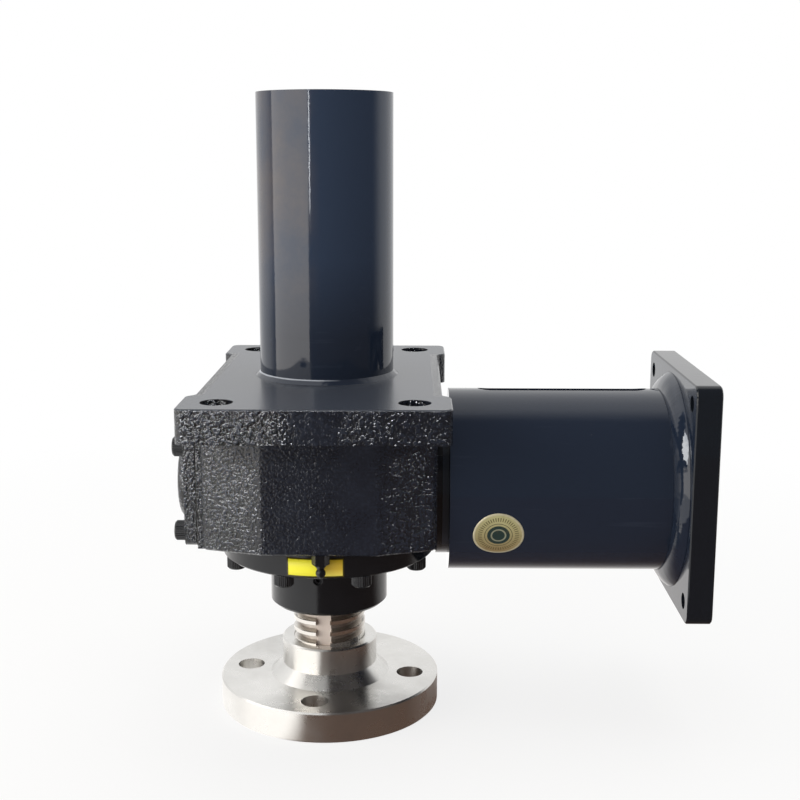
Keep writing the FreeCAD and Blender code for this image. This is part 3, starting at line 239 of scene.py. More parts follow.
# %% The world
world = bpy.data.worlds.new("studio")
bpy.context.scene.world = world
world.use_nodes = True
tree = world.node_tree
tree.nodes.clear()
rays = add(tree, "ShaderNodeLightPath")
seen = add(tree, "ShaderNodeTexCoord")
parts = add(tree, "ShaderNodeSeparateXYZ", {0: seen.outputs["Generated"]})
behind = add(tree, "ShaderNodeMapRange", {
    "interpolation_type": "SMOOTHSTEP", "From Min": -0.05, "From Max": 0.4,
    "Value": parts.outputs["Y"]})
room = add(tree, "ShaderNodeMix", {
    "data_type": "RGBA", A: (0.13, 0.12, 0.12, 1), B: (1, 1, 1, 1), "Factor": behind})
leftward = add(tree, "ShaderNodeMapRange", {
    "interpolation_type": "SMOOTHSTEP", "From Min": 0.0, "From Max": -0.08,
    "Value": parts.outputs["X"]})
high = add(tree, "ShaderNodeMapRange", {
    "interpolation_type": "SMOOTHSTEP", "From Min": 0.3, "From Max": 0.55,
    "Value": parts.outputs["Z"]})
high_left = add(tree, "ShaderNodeMath", {"operation": "MULTIPLY", 0: leftward, 1: high})
room = add(tree, "ShaderNodeMix", {
    "data_type": "RGBA", B: (1.3, 1.3, 1.3, 1), "Factor": high_left, A: room})
mirrored = add(tree, "ShaderNodeMath", {
    "operation": "MAXIMUM", 0: rays.outputs["Is Glossy Ray"], 1: rays.outputs["Is Transmission Ray"]})
even = add(tree, "ShaderNodeBackground", {"Color": (0.97, 0.98, 1.0, 1), "Strength": 0.55})
mirror = add(tree, "ShaderNodeBackground", {"Strength": 1.0, "Color": room})
white = add(tree, "ShaderNodeBackground", {"Color": (1, 1, 1, 1), "Strength": 1.0})
first = add(tree, "ShaderNodeMixShader", {0: mirrored, 1: even, 2: mirror})
last = add(tree, "ShaderNodeMixShader", {0: rays.outputs["Is Camera Ray"], 1: first, 2: white})
add(tree, "ShaderNodeOutputWorld", {"Surface": last})
print("world ready")

# %% [markdown]
# Two soft panels light the jack. The wide one on the left is also what the round surfaces
# mirror: a cylinder shows it as an upright strip with a sharp edge, and its width comes from
# the panel's place. The one above is weak, and the gloss doesn't mirror it, because it would
# draw a second bright line along the lantern. It only lifts the tops.


# %% Soft panels
def panel(name, place, aim, size, power, colour):
    """Rectangular lamp turned towards a point."""
    data = bpy.data.lights.new(name, "AREA")
    data.shape = "RECTANGLE"
    data.size, data.size_y = size
    data.energy = power
    data.color = colour
    lamp = bpy.data.objects.new(name, data)
    turn = (Vector(aim) - Vector(place)).to_track_quat("-Z", "Y").to_matrix().to_4x4()
    lamp.matrix_world = Matrix.Translation(place) @ turn
    lamp.visible_camera = False
    bpy.context.collection.objects.link(lamp)
    return lamp


panel("left_panel", (-1.42, -0.86, 0.22), (0, 0, 0.0), (2.3, 1.5), 31, (1.0, 0.96, 0.91))
top_panel = panel("top_panel", (0.15, 0.25, 1.5), (0.05, 0, 0), (1.6, 1.2), 13, (0.96, 0.98, 1.0))
top_panel.visible_glossy = False

# %% [markdown]
# ## Finishes
#
# Every finish starts from what the real one is and how its surface was made. All patterns
# read Object coordinates, which are metres here, so a pattern with lumps 2.5 mm apart has the
# scale 1 / (2.5 * MM). A finish is kept in a table under the name of its slot.


# %% A finish to fill in
FINISH = {}


def finish(slot, name, **sockets):
    """New material with a Principled shader whose constant sockets are set here."""
    material = bpy.data.materials.new(name)
    material.use_nodes = True
    tree = material.node_tree
    tree.nodes.clear()
    coords = add(tree, "ShaderNodeTexCoord")
    constants = {label.replace("_", " "): value for label, value in sockets.items()}
    shader = add(tree, "ShaderNodeBsdfPrincipled", constants)
    add(tree, "ShaderNodeOutputMaterial", {"Surface": shader})
    FINISH[slot] = material
    return tree, coords.outputs["Object"], shader


# %% [markdown]
# ### Enamel over a sand casting
#
# Sand leaves lumps of 1 to 3 mm with single grains on them, a few tenths of a millimetre
# high. The black enamel runs into them and stays glossy, so each lump catches the light as a
# bright speck. A height map would give this, but noise and cells in real millimetres need no
# picture and no unwrapping. The middle of the front was dressed with a grinder, so a mask
# from the place holds the lumps back there.

# %% Cast enamel
LUMP = 2.0 * MM
tree, spot, shader = finish("cast_paint", "black_enamel_on_sand_casting", Roughness=0.13, IOR=1.5)
lumps = add(tree, "ShaderNodeTexNoise", {
    "Scale": 1 / LUMP, "Detail": 2.5, "Roughness": 0.55, "Vector": spot})
grains = add(tree, "ShaderNodeTexVoronoi", {"Scale": 1.15 / LUMP, "Vector": spot})
grain_pick = add(tree, "ShaderNodeSeparateColor", {0: grains.outputs["Color"]})
grain_size = add(tree, "ShaderNodeMapRange", {
    "From Min": 0.35, "From Max": 0.9, "To Max": 0.19, "Value": grain_pick.outputs["Red"]})
dome = add(tree, "ShaderNodeMapRange", {
    "interpolation_type": "SMOOTHSTEP", "From Min": 0.55, "From Max": 0.05, "Value": grains})
grain = add(tree, "ShaderNodeMath", {"operation": "MULTIPLY", 0: dome, 1: grain_size})
skin = add(tree, "ShaderNodeMath", {"operation": "MULTIPLY_ADD", 0: lumps, 1: 0.5, 2: grain})
patches = add(tree, "ShaderNodeTexNoise", {"Scale": 1 / (26.3 * MM), "Detail": 2.0, "Vector": spot})
where = add(tree, "ShaderNodeSeparateXYZ", {0: spot})
side = add(tree, "ShaderNodeMath", {"operation": "ABSOLUTE", 0: where.outputs["X"]})
on_flange = add(tree, "ShaderNodeMath", {
    "operation": "GREATER_THAN", 0: where.outputs["Z"], 1: FLANGE_BOTTOM})
dressed = add(tree, "ShaderNodeMapRange", {"To Min": 34 * MM, "To Max": 12 * MM, "Value": on_flange})
past = add(tree, "ShaderNodeMath", {"operation": "SUBTRACT", 0: side, 1: dressed})
wander = add(tree, "ShaderNodeMath", {"operation": "MULTIPLY_ADD", 0: patches, 1: 16 * MM, 2: past})
rough_zone = add(tree, "ShaderNodeMapRange", {
    "interpolation_type": "SMOOTHSTEP", "From Min": 3 * MM, "From Max": 22 * MM, "To Min": 0.42,
    "To Max": 1.0, "Value": wander})
print("casting lumps", LUMP / MM, "mm apart")

# %% [markdown]
# The top of the flange was milled before it was painted, and the direction of the surface
# says where. Only two strips on it, along the edges of the waist, were left as cast. The
# milled face is a little duller, and it is also given a lighter colour: a painted sheen for
# the light that a face looking up catches.

# %% Milled top and as-cast strips
facing = add(tree, "ShaderNodeNewGeometry")
tilt = add(tree, "ShaderNodeSeparateXYZ", {0: facing.outputs["True Normal"]})
milled = add(tree, "ShaderNodeMapRange", {
    "From Min": 0.5, "From Max": 0.9, "To Min": 1.0, "To Max": 0.05, "Value": tilt.outputs["Z"]})
near_waist = add(tree, "ShaderNodeMapRange", {
    "From Min": 70.5 * MM, "From Max": 71.5 * MM, "To Max": 0.9, "Value": side})
lengthwise = add(tree, "ShaderNodeMath", {"operation": "ABSOLUTE", 0: where.outputs["Y"]})
between_lugs = add(tree, "ShaderNodeMapRange", {
    "From Min": 86 * MM, "From Max": 80 * MM, "Value": lengthwise})
strip = add(tree, "ShaderNodeMath", {"operation": "MULTIPLY", 0: near_waist, 1: between_lugs})
as_cast = add(tree, "ShaderNodeMath", {"operation": "MAXIMUM", 0: milled, 1: strip})
calmer = add(tree, "ShaderNodeMapRange", {
    "From Min": -5 * MM, "From Max": 30 * MM, "To Min": 1.0, "To Max": 0.62,
    "Value": where.outputs["X"]})
zone = add(tree, "ShaderNodeMath", {"operation": "MULTIPLY", 0: rough_zone, 1: calmer})
amount = add(tree, "ShaderNodeMath", {"operation": "MULTIPLY", 0: zone, 1: as_cast})
print("as-cast strips beside the waist, milled elsewhere on top")

# %% Relief and colour of the casting
soft_edge = add(tree, "ShaderNodeBevel", {"samples": 4, "Radius": 0.6 * MM})
bump = add(tree, "ShaderNodeBump", {
    "Distance": 2.6 * MM, "Height": skin, "Strength": amount, "Normal": soft_edge})
ripple = add(tree, "ShaderNodeTexNoise", {"Scale": 1 / (6.25 * MM), "Detail": 1.0, "Vector": spot})
flow = add(tree, "ShaderNodeBump", {
    "Distance": 0.1 * MM, "Strength": 0.25, "Height": ripple, "Normal": bump})
cloud_share = add(tree, "ShaderNodeMapRange", {"From Min": 0.35, "From Max": 0.75, "Value": patches})
coat = add(tree, "ShaderNodeMix", {"data_type": "RGBA", "Factor": cloud_share, A: "#1b1f29", B: "#262b36"})
# Painted shade: the low parts of the skin are darkened towards black, as if shade lay in the hollows.
pits = add(tree, "ShaderNodeMapRange", {"From Min": 0.32, "From Max": 0.22, "Value": skin})
shade = add(tree, "ShaderNodeMath", {"operation": "MULTIPLY", 0: pits, 1: amount})
coat = add(tree, "ShaderNodeMix", {"data_type": "RGBA", "Factor": shade, A: coat, B: "#0a0b0d"})
# Painted sheen: faces that look up get a lighter grey than the rest of the enamel.
painted_top_sheen = add(tree, "ShaderNodeMath", {"operation": "SUBTRACT", 0: 1.0, 1: as_cast})
coat = add(tree, "ShaderNodeMix", {"data_type": "RGBA", "Factor": painted_top_sheen, A: coat, B: "#3d4149"})
satin_top = add(tree, "ShaderNodeMapRange", {
    "From Min": 1.0, "From Max": 0.05, "To Min": 0.09, "To Max": 0.27, "Value": as_cast})
wire(shader, {"Normal": flow, "Base Color": coat, "Roughness": satin_top})
print("cast enamel ready")

# %% [markdown]
# ### Gloss enamel on tube and plate
#
# The tube, the lantern and the motor plate are smooth steel under a blue-black enamel that was
# sprayed on. Its face is a hard mirror with a slight orange peel, a few dust specks that stand
# out as points, and faint rubbed marks along the lantern. Orange peel is a noise of a few
# millimetres and a few hundredths deep.

# %% Gloss enamel
tree, spot, shader = finish("gloss_paint", "blue_black_gloss_enamel", IOR=1.46)
peel = add(tree, "ShaderNodeTexNoise", {
    "Scale": 1 / (4.76 * MM), "Detail": 2.0, "Roughness": 0.5, "Vector": spot})
speck_cells = add(tree, "ShaderNodeTexVoronoi", {"Scale": 1 / (8.33 * MM), "Vector": spot})
speck_pick = add(tree, "ShaderNodeSeparateColor", {0: speck_cells.outputs["Color"]})
chosen = add(tree, "ShaderNodeMath", {
    "operation": "GREATER_THAN", 0: speck_pick.outputs["Red"], 1: 0.93})
near = add(tree, "ShaderNodeMapRange", {
    "From Min": 0.02, "From Max": 0.1, "To Min": 1.0, "To Max": 0.0, "Value": speck_cells})
speck = add(tree, "ShaderNodeMath", {"operation": "MULTIPLY", 0: chosen, 1: near})
height = add(tree, "ShaderNodeMath", {"operation": "MULTIPLY_ADD", 0: speck, 1: 3.0, 2: peel})
soft_edge = add(tree, "ShaderNodeBevel", {"samples": 4, "Radius": 0.5 * MM})
bump = add(tree, "ShaderNodeBump", {
    "Distance": 0.06 * MM, "Strength": 0.55, "Height": height, "Normal": soft_edge})
print("orange peel and specks")

# %% Colours of the gloss enamel
MARK_LENGTH, MARK_WIDTH = 111 * MM, 7.14 * MM
along = add(tree, "ShaderNodeMapping", {
    "Scale": (1 / MARK_LENGTH, 1 / MARK_WIDTH, 1 / MARK_WIDTH), "Vector": spot})
rubbed = add(tree, "ShaderNodeTexNoise", {
    "Scale": 1.0, "Detail": 4.0, "Roughness": 0.6, "Vector": along})
marks = add(tree, "ShaderNodeMapRange", {"From Min": 0.6, "From Max": 0.8, "Value": rubbed})
coat = add(tree, "ShaderNodeMix", {"data_type": "RGBA", "Factor": marks, A: "#1f2735", B: "#2a3240"})
where = add(tree, "ShaderNodeSeparateXYZ", {0: spot})
on_plate = add(tree, "ShaderNodeMath", {
    "operation": "GREATER_THAN", 0: where.outputs["X"], 1: PLATE_FACE})
coat = add(tree, "ShaderNodeMix", {"data_type": "RGBA", "Factor": on_plate, A: coat, B: "#15191f"})
# Brown-grey clouds on the upper left of the tube.
cloud = add(tree, "ShaderNodeTexNoise", {
    "Scale": 1 / (62.5 * MM), "Detail": 5.0, "Roughness": 0.6, "Vector": spot})
brown_cloud = add(tree, "ShaderNodeMapRange", {
    "From Min": 0.35, "From Max": 0.65, "To Max": 0.55, "Value": cloud})
up_tube = add(tree, "ShaderNodeMapRange", {
    "From Min": 30 * MM, "From Max": 80 * MM, "Value": where.outputs["Z"]})
left_side = add(tree, "ShaderNodeMapRange", {
    "From Min": 0.0, "From Max": -12 * MM, "Value": where.outputs["X"]})
upper_left_of_tube = add(tree, "ShaderNodeMath", {"operation": "MULTIPLY", 0: left_side, 1: up_tube})
cloud_share = add(tree, "ShaderNodeMath", {"operation": "MULTIPLY", 0: brown_cloud, 1: upper_left_of_tube})
# Painted reflection: the tube's enamel is darker near its foot and lighter and bluer higher up.
coat = add(tree, "ShaderNodeMix", {"data_type": "RGBA", "Factor": up_tube, A: coat, B: "#2a3547"})
tone = add(tree, "ShaderNodeMix", {"data_type": "RGBA", "Factor": cloud_share, A: coat, B: "#5c524a"})
matt = add(tree, "ShaderNodeMapRange", {"To Min": 0.07, "To Max": 0.2, "Value": marks})
wire(shader, {"Normal": bump, "Base Color": tone, "Roughness": matt})
print("gloss enamel ready")

# %% [markdown]
# ### Enamel over turned pieces and over screws
#
# The cover, the collar and the neck ring were turned before painting, so their enamel is
# smooth but less glassy than the tube's. Paint on screws is thick: it fills the knurl, pools
# in the socket and is worn a little on the rims.

# %% Satin and screw enamel
tree, spot, shader = finish("satin_paint", "black_enamel_on_turned_iron", Roughness=0.14, IOR=1.42)
peel = add(tree, "ShaderNodeTexNoise", {"Scale": 1 / (3.125 * MM), "Detail": 3.0, "Vector": spot})
cloud = add(tree, "ShaderNodeTexNoise", {"Scale": 1 / (22.2 * MM), "Detail": 2.0, "Vector": spot})
soft_edge = add(tree, "ShaderNodeBevel", {"samples": 4, "Radius": 0.8 * MM})
bump = add(tree, "ShaderNodeBump", {
    "Distance": 0.12 * MM, "Strength": 0.5, "Height": peel, "Normal": soft_edge})
coat = add(tree, "ShaderNodeMix", {"data_type": "RGBA", "Factor": cloud, A: "#121316", B: "#1b1c20"})
where = add(tree, "ShaderNodeSeparateXYZ", {0: spot})
# Painted sheen: the neck ring gets a lighter, bluer grey than the cover and collar, though all wear the
# same enamel.
on_neck = add(tree, "ShaderNodeMath", {
    "operation": "GREATER_THAN", 0: where.outputs["X"], 1: COVER_R + 5 * MM})
tone = add(tree, "ShaderNodeMix", {"data_type": "RGBA", "Factor": on_neck, A: coat, B: "#2b3038"})
wire(shader, {"Normal": bump, "Base Color": tone})

tree, spot, shader = finish("painted_screws", "black_enamel_on_screws", Roughness=0.2, IOR=1.42)
runs = add(tree, "ShaderNodeTexNoise", {"Scale": 1 / (1.43 * MM), "Detail": 2.0, "Vector": spot})
bump = add(tree, "ShaderNodeBump", {"Distance": 0.2 * MM, "Strength": 0.45, "Height": runs})
rim = add(tree, "ShaderNodeNewGeometry")
worn = add(tree, "ShaderNodeMapRange", {
    "From Min": 0.52, "From Max": 0.6, "Value": rim.outputs["Pointiness"]})
tone = add(tree, "ShaderNodeMix", {"data_type": "RGBA", "Factor": worn, A: "#131418", B: "#333436"})
wire(shader, {"Normal": bump, "Base Color": tone})
print("satin and screw enamel ready")

# %% [markdown]
# ### Turned steel
#
# The end flange was faced and turned on a lathe. The tool leaves rings round the axis, too
# fine to see one by one (0.15 mm), so they are drawn about 0.9 mm apart. Light then spreads across
# the rings, which an anisotropic shader with a radial tangent does, and it gives the bright
# fans on the plate and the upright streaks on the hub. A little storage haze dulls it.

# %% Turned steel
RING_SPACING = 0.9 * MM
tree, spot, shader = finish("turned_steel", "lathe_turned_steel", Metallic=1.0, Anisotropic=0.88,
                            Anisotropic_Rotation=0.25)
where = add(tree, "ShaderNodeSeparateXYZ", {0: spot})
flat = add(tree, "ShaderNodeCombineXYZ", {"X": where.outputs["X"], "Y": where.outputs["Y"]})
radius = add(tree, "ShaderNodeVectorMath", {"operation": "LENGTH", 0: flat})
travel = add(tree, "ShaderNodeMath", {"operation": "ADD", 0: radius, 1: where.outputs["Z"]})
feed = add(tree, "ShaderNodeMath", {"operation": "MULTIPLY", 0: travel, 1: 1 / RING_SPACING})
rings = add(tree, "ShaderNodeTexNoise", {
    "noise_dimensions": "1D", "Scale": 1.0, "Detail": 3.0, "Roughness": 0.7, "W": feed})
haze = add(tree, "ShaderNodeTexNoise", {
    "Scale": 1 / (16.7 * MM), "Detail": 5.0, "Roughness": 0.65, "Vector": spot})
pits = add(tree, "ShaderNodeTexNoise", {"Scale": 1 / (1.11 * MM), "Detail": 2.0, "Vector": spot})
height = add(tree, "ShaderNodeMath", {"operation": "MULTIPLY_ADD", 0: pits, 1: 0.25, 2: rings})
bump = add(tree, "ShaderNodeBump", {"Distance": 0.04 * MM, "Strength": 0.6, "Height": height})
tangent = add(tree, "ShaderNodeTangent", {"direction_type": "RADIAL", "axis": "Z"})
dull = add(tree, "ShaderNodeMapRange", {
    "From Min": 0.3, "From Max": 0.75, "To Min": 0.24, "To Max": 0.36, "Value": haze})
tone = add(tree, "ShaderNodeMix", {"data_type": "RGBA", "Factor": haze, A: "#e3e2df", B: "#cbc9c5"})
wire(shader, {"Normal": bump, "Tangent": tangent, "Roughness": dull, "Base Color": tone})
print("ring spacing", RING_SPACING)

# %% [markdown]
# ### Steel of the lifting screw
#
# The thread is whirled and then oiled. Crests are rubbed bright, the roots keep dark oil, and the
# keyway is milled with marks across it. Distance from the axis tells a crest from a root,
# so one map range gives both colours.

# %% Screw steel
tree, spot, shader = finish("screw_steel", "oiled_screw_steel", Metallic=1.0)
where = add(tree, "ShaderNodeSeparateXYZ", {0: spot})
flat = add(tree, "ShaderNodeCombineXYZ", {"X": where.outputs["X"], "Y": where.outputs["Y"]})
radius = add(tree, "ShaderNodeVectorMath", {"operation": "LENGTH", 0: flat})
smear = add(tree, "ShaderNodeTexNoise", {
    "Scale": 1 / (5.88 * MM), "Detail": 4.0, "Roughness": 0.65, "Vector": spot})
crest = add(tree, "ShaderNodeMapRange", {
    "From Min": SCREW_R - THREAD_DEPTH, "From Max": SCREW_R - 0.4 * MM, "Value": radius})
clean = add(tree, "ShaderNodeMath", {"operation": "MULTIPLY_ADD", 0: smear, 1: 0.9, 2: -0.3})
rub = add(tree, "ShaderNodeMath", {"operation": "ADD", 0: crest, 1: clean, "use_clamp": True})
to_key = add(tree, "ShaderNodeMapping", {"Rotation": (0, 0, -KEYWAY_ANGLE), "Vector": spot})
key_place = add(tree, "ShaderNodeSeparateXYZ", {0: to_key})
key_floor = add(tree, "ShaderNodeMath", {
    "operation": "COMPARE", 0: key_place.outputs["X"], 1: SCREW_R - KEYWAY_DEPTH, 2: 0.2 * MM})
key_across = add(tree, "ShaderNodeMath", {
    "operation": "COMPARE", 0: key_place.outputs["Y"], 1: 0.0, 2: KEYWAY_HALF + 0.1 * MM})
in_keyway = add(tree, "ShaderNodeMath", {"operation": "MULTIPLY", 0: key_floor, 1: key_across})
steel = add(tree, "ShaderNodeMix", {"data_type": "RGBA", "Factor": rub, A: "#a8a098", B: "#dad6d0"})
tone = add(tree, "ShaderNodeMix", {"data_type": "RGBA", "Factor": in_keyway, A: steel, B: "#efe6df"})
gloss = add(tree, "ShaderNodeMapRange", {"To Min": 0.5, "To Max": 0.25, "Value": rub})
matt_key = add(tree, "ShaderNodeMath", {"operation": "MULTIPLY_ADD", 0: in_keyway, 1: 0.3, 2: gloss})
CUT_WIDTH, CUT_HEIGHT = 1.11 * MM, 6.25 * MM
streaks = add(tree, "ShaderNodeMapping", {
    "Scale": (1 / CUT_WIDTH, 1 / CUT_WIDTH, 1 / CUT_HEIGHT), "Vector": spot})
cuts = add(tree, "ShaderNodeTexNoise", {"Scale": 1.0, "Detail": 3.0, "Vector": streaks})
bump = add(tree, "ShaderNodeBump", {"Distance": 0.08 * MM, "Strength": 0.6, "Height": cuts})
wire(shader, {"Base Color": tone, "Roughness": matt_key, "Normal": bump})
print("screw steel ready")

# %% [markdown]
# ### Metals inside the case
#
# Gears, bearings, keys and the nut are hidden while the jack is whole, but a reader may open
# it. They differ in hue, gloss and tool marks, which the same few nodes can tell, so one
# function makes them from a table of real finishes.


# %% Machined metals
def machined(slot, name, dark, light, roughness, marks_mm, depth_mm):
    """Bare metal with tool marks a given distance apart."""
    tree, spot, shader = finish(slot, name, Metallic=1.0)
    marks = add(tree, "ShaderNodeTexNoise", {
        "Scale": 1 / (marks_mm * MM), "Detail": 3.0, "Roughness": 0.6, "Vector": spot})
    stain = add(tree, "ShaderNodeTexNoise", {"Scale": 1 / (11.1 * MM), "Detail": 3.0, "Vector": spot})
    bump = add(tree, "ShaderNodeBump", {"Distance": depth_mm * MM, "Strength": 0.5, "Height": marks})
    tone = add(tree, "ShaderNodeMix", {"data_type": "RGBA", "Factor": stain, A: dark, B: light})
    shine = add(tree, "ShaderNodeMapRange", {
        "To Min": roughness - 0.07, "To Max": roughness + 0.07, "Value": stain})
    wire(shader, {"Normal": bump, "Base Color": tone, "Roughness": shine})


machined("gear_steel", "ground_gear_steel", "#8d8d90", "#a9aaad", 0.28, 1.2, 0.03)
machined("tool_steel", "milled_steel", "#77777a", "#939396", 0.36, 1.6, 0.05)
machined("bearing_steel", "ground_bearing_steel", "#b4b5b8", "#cacbce", 0.16, 1.5, 0.01)
machined("alloy_screws", "black_oxide_steel", "#232326", "#37373a", 0.42, 0.8, 0.03)
machined("bronze", "machined_bronze", "#a8783d", "#c39552", 0.30, 1.4, 0.04)
print("metals ready")

# %% [markdown]
# ### Rubber, elastomer, paper and a painted highlight on the seam
#
# Seals are moulded rubber with a fine matt skin, the coupling's star is a red elastomer, and
# the gasket is pressed fibre. The bead round the foot of the tube is painted over too, and
# the thin pale line along its upper edge, on the left half only, is a painted highlight.


# %% Soft finishes
def moulded(slot, name, dark, light, roughness, grain_mm):
    """Non-metal with a fine grain."""
    tree, spot, shader = finish(slot, name, IOR=1.5)
    grain = add(tree, "ShaderNodeTexNoise", {
        "Scale": 1 / (grain_mm * MM), "Detail": 3.0, "Vector": spot})
    bump = add(tree, "ShaderNodeBump", {"Distance": 0.1 * MM, "Strength": 0.5, "Height": grain})
    tone = add(tree, "ShaderNodeMix", {"data_type": "RGBA", "Factor": grain, A: dark, B: light})
    dry = add(tree, "ShaderNodeMapRange", {
        "To Min": roughness - 0.08, "To Max": roughness + 0.08, "Value": grain})
    wire(shader, {"Normal": bump, "Base Color": tone, "Roughness": dry})


moulded("seal_rubber", "moulded_rubber", "#1b1b1c", "#29292a", 0.6, 0.6)
moulded("spider_elastomer", "red_elastomer", "#8e241a", "#a83425", 0.5, 1.2)
moulded("gasket_paper", "pressed_fibre", "#3a3834", "#55524b", 0.8, 0.7)

tree, spot, shader = finish("weld_line", "enamel_with_pale_seam", Roughness=0.1, IOR=1.5)
where = add(tree, "ShaderNodeSeparateXYZ", {0: spot})
waver = add(tree, "ShaderNodeTexNoise", {"Scale": 1 / (18.2 * MM), "Detail": 2.0, "Vector": spot})
level_of = add(tree, "ShaderNodeMath", {
    "operation": "MULTIPLY_ADD", 0: waver, 1: 0.9 * MM, 2: where.outputs["Z"]})
# Painted highlight: a thin pale line along the bead's upper edge, on the left half only.
line = add(tree, "ShaderNodeMapRange", {
    "From Min": 2.55 * MM, "From Max": 2.9 * MM, "Value": level_of})
left_half = add(tree, "ShaderNodeMapRange", {
    "From Min": 12 * MM, "From Max": -4 * MM, "Value": where.outputs["X"]})
painted_highlight_line = add(tree, "ShaderNodeMath", {"operation": "MULTIPLY", 0: line, 1: left_half})
tone = add(tree, "ShaderNodeMix", {
    "data_type": "RGBA", "Factor": painted_highlight_line, A: "#1f2735", B: "#a3a8b0"})
lumpy = add(tree, "ShaderNodeTexNoise", {"Scale": 1 / (3.85 * MM), "Detail": 2.0, "Vector": spot})
bump = add(tree, "ShaderNodeBump", {"Distance": 0.4 * MM, "Strength": 0.5, "Height": lumpy})
wire(shader, {"Base Color": tone, "Normal": bump})
print("finishes made:", len(FINISH))

# %% [markdown]
# ## Dressing the solids
#
# The record says which finish each solid has. A solid has one material for all its faces.

# %% Give each solid its finish
for piece in frame["record"]["subparts"]:
    mesh = nodes[piece["node"]].data
    mesh.materials.clear()
    mesh.materials.append(FINISH[piece["material_slot"]])

# %% [markdown]
# ## Making a piece
#
# New pieces are built from points and faces in place, so their objects stay at the origin.
# One helper merges doubles and turns all faces outwards, because swept and mirrored shapes
# can come out inside out. The other gives a mesh its finish and a body to ride on.


# %% Piece helpers
def faced_out(mesh, merge=0.0):
    """Merge points that are closer than a distance, and turn all faces outwards."""
    shape = bmesh.new()
    shape.from_mesh(mesh)
    if merge:
        bmesh.ops.remove_doubles(shape, verts=shape.verts, dist=merge)
    bmesh.ops.recalc_face_normals(shape, faces=shape.faces)
    shape.to_mesh(mesh)
    shape.free()


def on_body(mesh, finish_name, body):
    """Piece with one finish that rides on a body of the jack."""
    mesh.materials.clear()
    mesh.materials.append(FINISH[finish_name])
    for face in mesh.polygons:
        face.material_index = 0
    piece = bpy.data.objects.new(mesh.name, mesh)
    bpy.context.collection.objects.link(piece)
    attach(piece, body)
    print(mesh.name, "faces:", len(mesh.polygons), "finish:", FINISH[finish_name].name)
    return piece


# %% [markdown]
# ## The lifting screw
#
# A trapezoidal screw: 50 mm across, 8 mm from thread to thread, with flanks at 15 degrees. A
# screw modifier could sweep the profile, but the keyway has to cut across every turn with
# crisp walls. So the surface is laid out as columns round the axis: each column is the thread's
# profile at its own height, and the columns inside the keyway lie on its flat floor.

# %% Thread profile over one pitch
FLANK_ANGLE = math.radians(15)
CREST_R, ROOT_R = SCREW_R, SCREW_R - THREAD_DEPTH
FLANK = THREAD_DEPTH * math.tan(FLANK_ANGLE)
CREST = PITCH / 2 - FLANK
SOFT = 0.35 * MM
turn_profile = [
    (0.0, ROOT_R), (PITCH / 2 - FLANK - SOFT, ROOT_R), (PITCH / 2 - FLANK, ROOT_R + SOFT),
    (PITCH / 2 - SOFT * 0.3, CREST_R - SOFT), (PITCH / 2 + SOFT * 0.4, CREST_R),
    (PITCH / 2 + CREST - SOFT * 0.4, CREST_R), (PITCH / 2 + CREST + SOFT * 0.3, CREST_R - SOFT),
    (PITCH - SOFT * 0.5, ROOT_R + SOFT)]
print("crest width", round(CREST / MM, 2), "mm of a pitch of", PITCH / MM)

# %% [markdown]
# Round columns start and end at the walls of the keyway. Each follows the profile, turn after
# turn, and climbs with the angle. What lies under the hub's top or over the screw's is cut.

# %% Columns of the thread
ROUND_COLUMNS = 60
LOW_EDGE = HUB_TOP - 1 * MM
wall = math.asin(KEYWAY_HALF / CREST_R)
angles = [wall + (2 * math.pi - 2 * wall) * k / ROUND_COLUMNS for k in range(ROUND_COLUMNS + 1)]
start_turn = math.floor(HUB_TOP / PITCH) - 1
turns = math.ceil(SCREW_TOP / PITCH) - start_turn + 1


def column(angle):
    """Points of one column from the hub up to the top of the screw."""
    points = []
    for turn in range(turns):
        for z, r in turn_profile:
            x, y = r * math.cos(angle), r * math.sin(angle)
            if angle in (angles[0], angles[-1]):
                y = math.copysign(KEYWAY_HALF, math.sin(angle))
                x = math.sqrt(r * r - y * y)
            height = PITCH * (start_turn + turn + angle / (2 * math.pi)) + z
            points.append((x, y, min(max(height, LOW_EDGE), SCREW_TOP)))
    return points


columns = [column(angle) for angle in angles]
rows = len(columns[0])
print("columns:", len(columns), "rows:", rows)

# %% [markdown]
# Neighbouring columns are joined row by row. From the first and the last column, walls drop
# straight to the keyway's flat floor. The ends are closed with fans, and the whole is turned
# so that the keyway faces the way it does on the jack.

# %% Join the columns
KEY_FLOOR = SCREW_R - KEYWAY_DEPTH
FLOOR_SPOTS = [-KEYWAY_HALF, -KEYWAY_HALF / 2, 0.0, KEYWAY_HALF / 2, KEYWAY_HALF]
vertices = [point for points in columns for point in points]
faces = []
for k in range(len(columns) - 1):
    for j in range(rows - 1):
        a, b = k * rows + j, (k + 1) * rows + j
        faces.append((a, b, b + 1, a + 1))

floor_start = len(vertices)
for y in FLOOR_SPOTS:
    vertices += [(KEY_FLOOR, y, LOW_EDGE), (KEY_FLOOR, y, SCREW_TOP)]
for k in range(len(FLOOR_SPOTS) - 1):
    a = floor_start + 2 * k
    faces.append((a, a + 2, a + 3, a + 1))
for k in (0, len(columns) - 1):
    base, inner = k * rows, len(vertices)
    vertices += [(KEY_FLOOR, y, z) for _, y, z in columns[k]]
    faces += [(base + j, base + j + 1, inner + j + 1, inner + j) for j in range(rows - 1)]

bottom_ring = [k * rows for k in range(len(columns))]
bottom_ring += [floor_start + 2 * k for k in range(len(FLOOR_SPOTS))]
top_ring = [k * rows + rows - 1 for k in range(len(columns))]
top_ring += [floor_start + 2 * k + 1 for k in range(len(FLOOR_SPOTS))]
for ring, height in ((top_ring, SCREW_TOP), (bottom_ring, LOW_EDGE)):
    centre = len(vertices)
    vertices.append((0, 0, height))
    faces += [(centre, a, b) for a, b in zip(ring, ring[1:] + ring[:1])]

